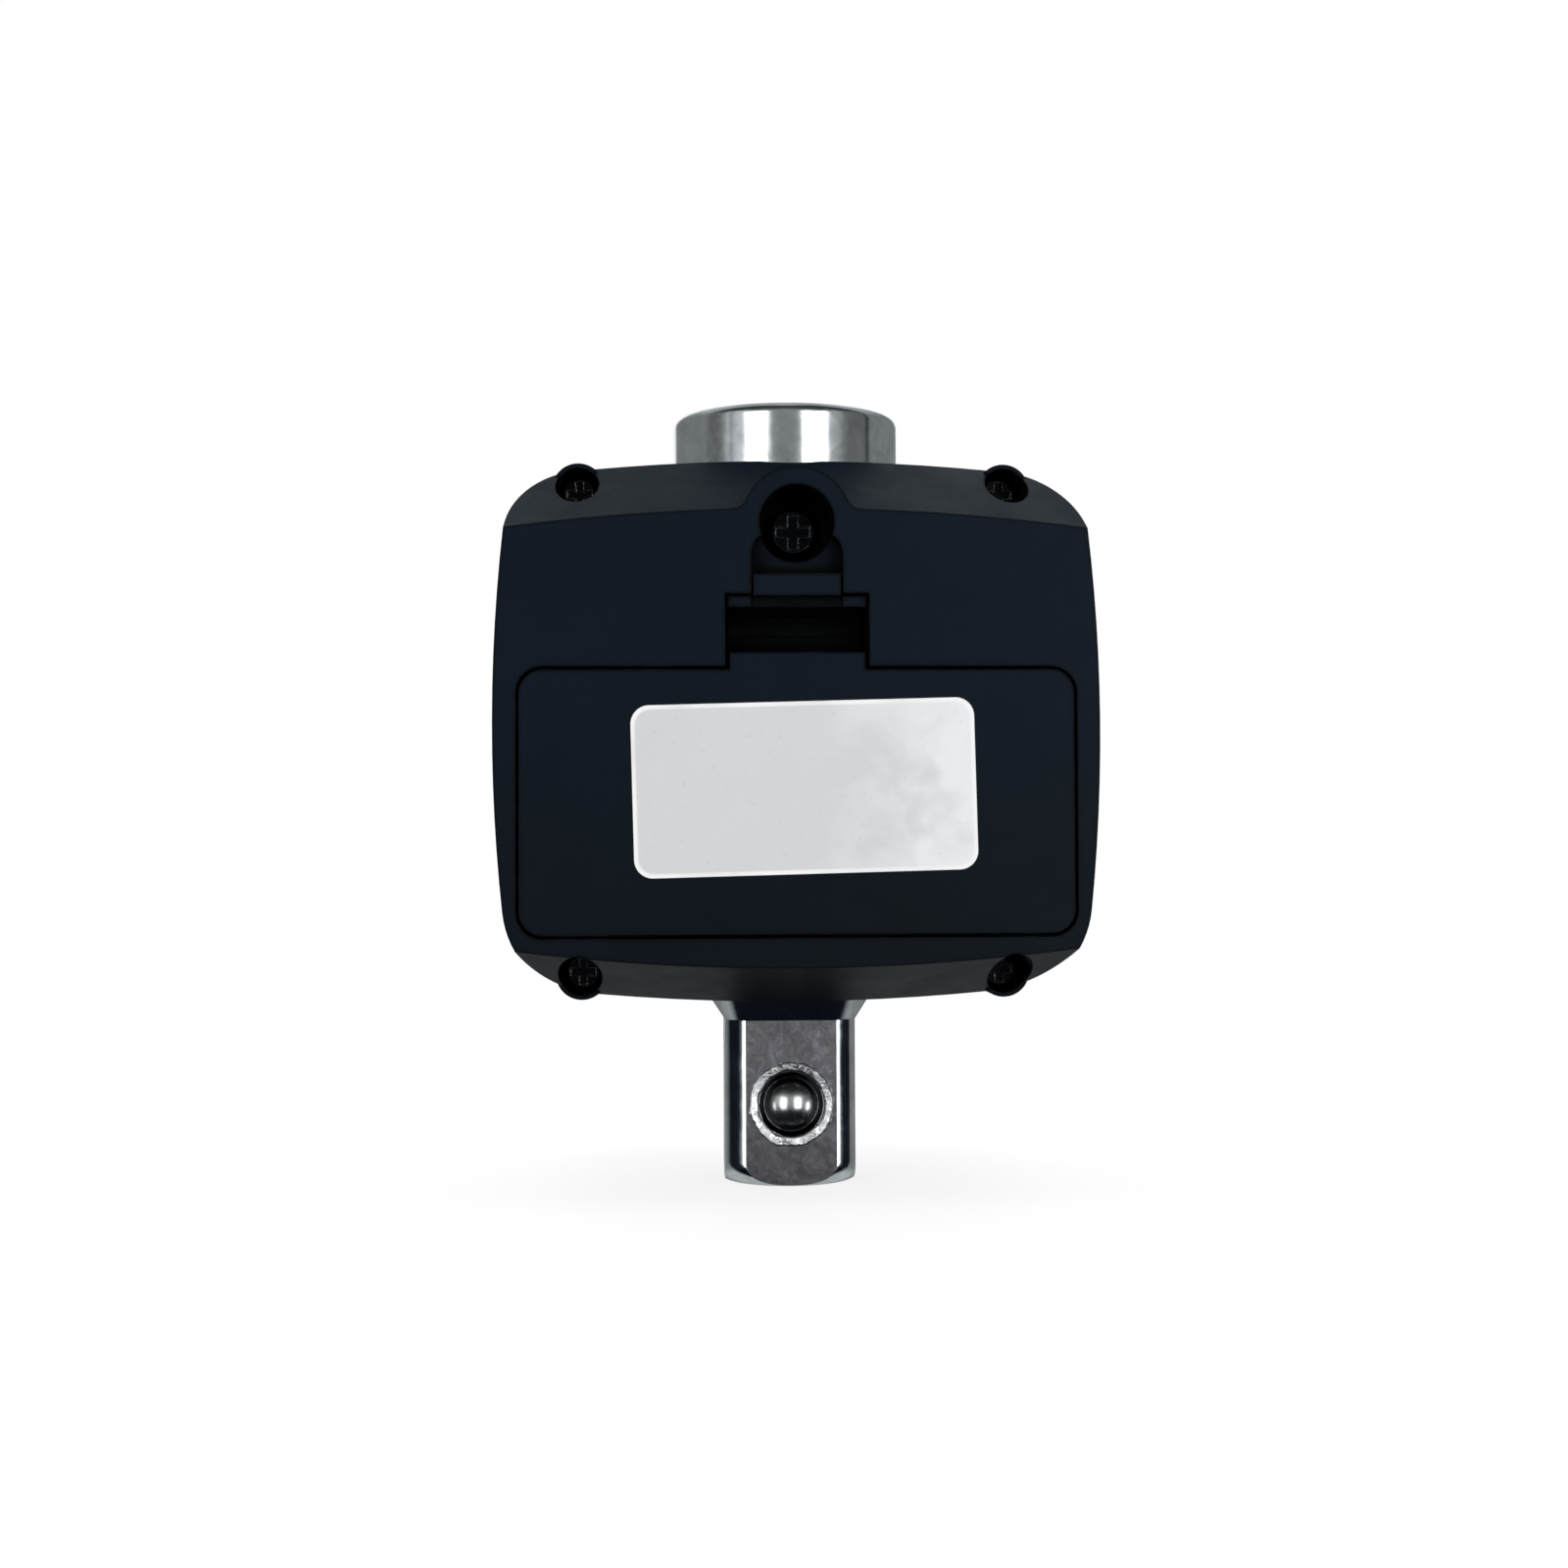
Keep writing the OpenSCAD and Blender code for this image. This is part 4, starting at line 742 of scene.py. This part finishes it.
def floor_look():
    """Pale floor: near the object it takes a faint shadow, further off it is plain white."""
    material = bpy.data.materials.new("floor_look")
    tree = Tree(material, "ShaderNodeOutputMaterial")
    place = tree.add("ShaderNodeTexCoord").outputs["Object"]
    far = tree.span(tree.vector_maths("LENGTH", place, output="Value"), *FLOOR_FADE, smooth=True)
    shaded = tree.add("ShaderNodeAddShader")
    tree.feed(tree.shader("ShaderNodeBsdfDiffuse", Color=FLOOR_GREY), shaded.inputs[0])
    tree.feed(tree.shader("ShaderNodeEmission", Strength=FLOOR_GLOW), shaded.inputs[1])
    seen_look = tree.either(far, shaded.outputs[0], tree.shader("ShaderNodeEmission"))
    bounce = tree.shader("ShaderNodeBsdfDiffuse", Color=FLOOR_BOUNCE)
    above = tree.either(on_rays(tree, "Is Camera Ray", "Is Transmission Ray"), bounce, seen_look)
    from_below = tree.add("ShaderNodeNewGeometry").outputs["Backfacing"]
    whole = tree.either(from_below, above, tree.shader("ShaderNodeBsdfTransparent"))
    tree.feed(whole, tree.out.inputs["Surface"])
    return material


def floor():
    """Round floor at the object's foot, left out of reflections."""
    turns = [2 * math.pi * side / FLOOR_SIDES for side in range(FLOOR_SIDES)]
    corners = [(FLOOR_RADIUS * math.cos(turn), FLOOR_RADIUS * math.sin(turn), 0) for turn in turns]
    piece = staged_mesh("floor", corners, [list(range(FLOOR_SIDES))], floor_look())
    piece.visible_glossy = False


def between(stops, at):
    """Value at a place between (place, value) stops."""
    for (start, low), (end, high) in zip(stops, stops[1:]):
        if at <= end:
            return low + (high - low) * (at - start) / (end - start)
    return stops[-1][1]


def limited(share):
    """A share kept within 0 and 1."""
    return min(1, max(0, share))


def room_level(azimuth, elevation):
    """Brightness of the room in one direction."""
    back = limited((abs(azimuth) - BACK_BEGINS) / BACK_FADE)
    level = between(ROOM_FRONT, elevation) * (1 - back) + between(ROOM_BACK, elevation) * back
    for side, left, right, low, high, bright, soft in PATCHES.values():
        here = abs(azimuth) if side == 0 else azimuth * side
        across = limited(0.5 + min(here - left, right - here) / soft)
        upright = limited(0.5 + min(elevation - low, high - elevation) / PATCH_SOFT_UP)
        level += (bright - level) * across * upright
    return level


def room_look():
    """Glow by the brightness in the mesh, bluer where the room is dark."""
    material = bpy.data.materials.new("dome_look")
    tree = Tree(material, "ShaderNodeOutputMaterial")
    light = tree.add("ShaderNodeAttribute", attribute_name="room_light").outputs["Fac"]
    tone = tree.add("ShaderNodeValToRGB")
    dark, bright = tone.color_ramp.elements
    dark.position, dark.color = ROOM_DARK, ROOM_DARK_COLOUR
    bright.position, bright.color = ROOM_BRIGHT, ROOM_COLOUR
    tree.feed(light, tone.inputs["Fac"])
    glow = tree.shader("ShaderNodeEmission", Color=tone.outputs["Color"], Strength=light)
    tree.feed(glow, tree.out.inputs["Surface"])
    return material


def dome():
    """Room round the object, seen only in reflections, with its brightness in the mesh."""
    corners, light, faces = [], [], []
    for elevation in ROOM_ROWS:
        for azimuth in ROOM_COLUMNS:
            corners.append(tuple(direction(azimuth, elevation) * ROOM_RADIUS))
            light.append(room_level(azimuth, elevation))
    wide = len(ROOM_COLUMNS)
    for row in range(len(ROOM_ROWS) - 1):
        for column in range(wide - 1):
            first = row * wide + column
            faces.append([first, first + wide, first + wide + 1, first + 1])
    piece = staged_mesh("dome", corners, faces, room_look())
    values = piece.data.attributes.new("room_light", "FLOAT", "POINT")
    values.data.foreach_set("value", light)
    piece.visible_camera = False
    piece.visible_diffuse = False
    piece.visible_transmission = False
    piece.visible_shadow = False


def lamp(name, azimuth, elevation, distance, width, height, radiance, glossy):
    """Rectangular softbox turned towards the middle of the object."""
    light = bpy.data.lights.new(name, "AREA")
    light.shape = "RECTANGLE"
    light.size = width
    light.size_y = height
    light.energy = radiance * math.pi * width * height
    piece = bpy.data.objects.new(name, light)
    way = direction(azimuth, elevation)
    piece.location = LAMP_AIM + way * distance
    piece.rotation_euler = way.to_track_quat("Z", "Y").to_euler()
    piece.visible_camera = False
    piece.visible_glossy = glossy
    scene.collection.objects.link(piece)


def world():
    """Soft grey light on the object, plain white where the camera or a reflection sees it."""
    scene.world = bpy.data.worlds.new("studio")
    tree = Tree(scene.world, "ShaderNodeOutputWorld")
    seen = on_rays(tree, "Is Camera Ray", "Is Transmission Ray", "Is Glossy Ray")
    soft = tree.shader("ShaderNodeBackground", Color=SKY_GREY)
    white = tree.shader("ShaderNodeBackground", Color=SKY_WHITE)
    tree.feed(tree.either(seen, soft, white), tree.out.inputs["Surface"])


floor()
world()
dome()
for name, values in LAMPS.items():
    lamp(name, *values)


# Camera, worked out from the photograph: its focal length in the photograph's pixels, its angles
# in radians and its place

PHOTO = 1600
FOCAL_PX = 2378.59
SENSOR = 36
YAW, PITCH, ROLL = 0.0470, 0.0251, -0.0045
CAMERA_AT = Vector((-11.2336, -232.8491, 33.3662)) * MM


def camera():
    """Camera that stands where the photograph was taken from."""
    data = bpy.data.cameras.new("camera")
    data.sensor_width = SENSOR
    data.lens = FOCAL_PX / PHOTO * SENSOR
    data.clip_start = 10 * MM
    piece = bpy.data.objects.new("camera", data)
    ahead = Vector((math.sin(YAW), math.cos(YAW), 0))
    forward = ahead * math.cos(PITCH) + Vector((0, 0, math.sin(PITCH)))
    level = Vector((math.cos(YAW), -math.sin(YAW), 0))
    up = level.cross(forward)
    right = math.cos(ROLL) * level + math.sin(ROLL) * up
    top = -math.sin(ROLL) * level + math.cos(ROLL) * up
    turn = Matrix((right, top, -forward)).transposed().to_4x4()
    piece.matrix_world = Matrix.Translation(CAMERA_AT) @ turn
    scene.collection.objects.link(piece)
    return piece


scene.camera = camera()
scene.view_settings.view_transform = "Standard"
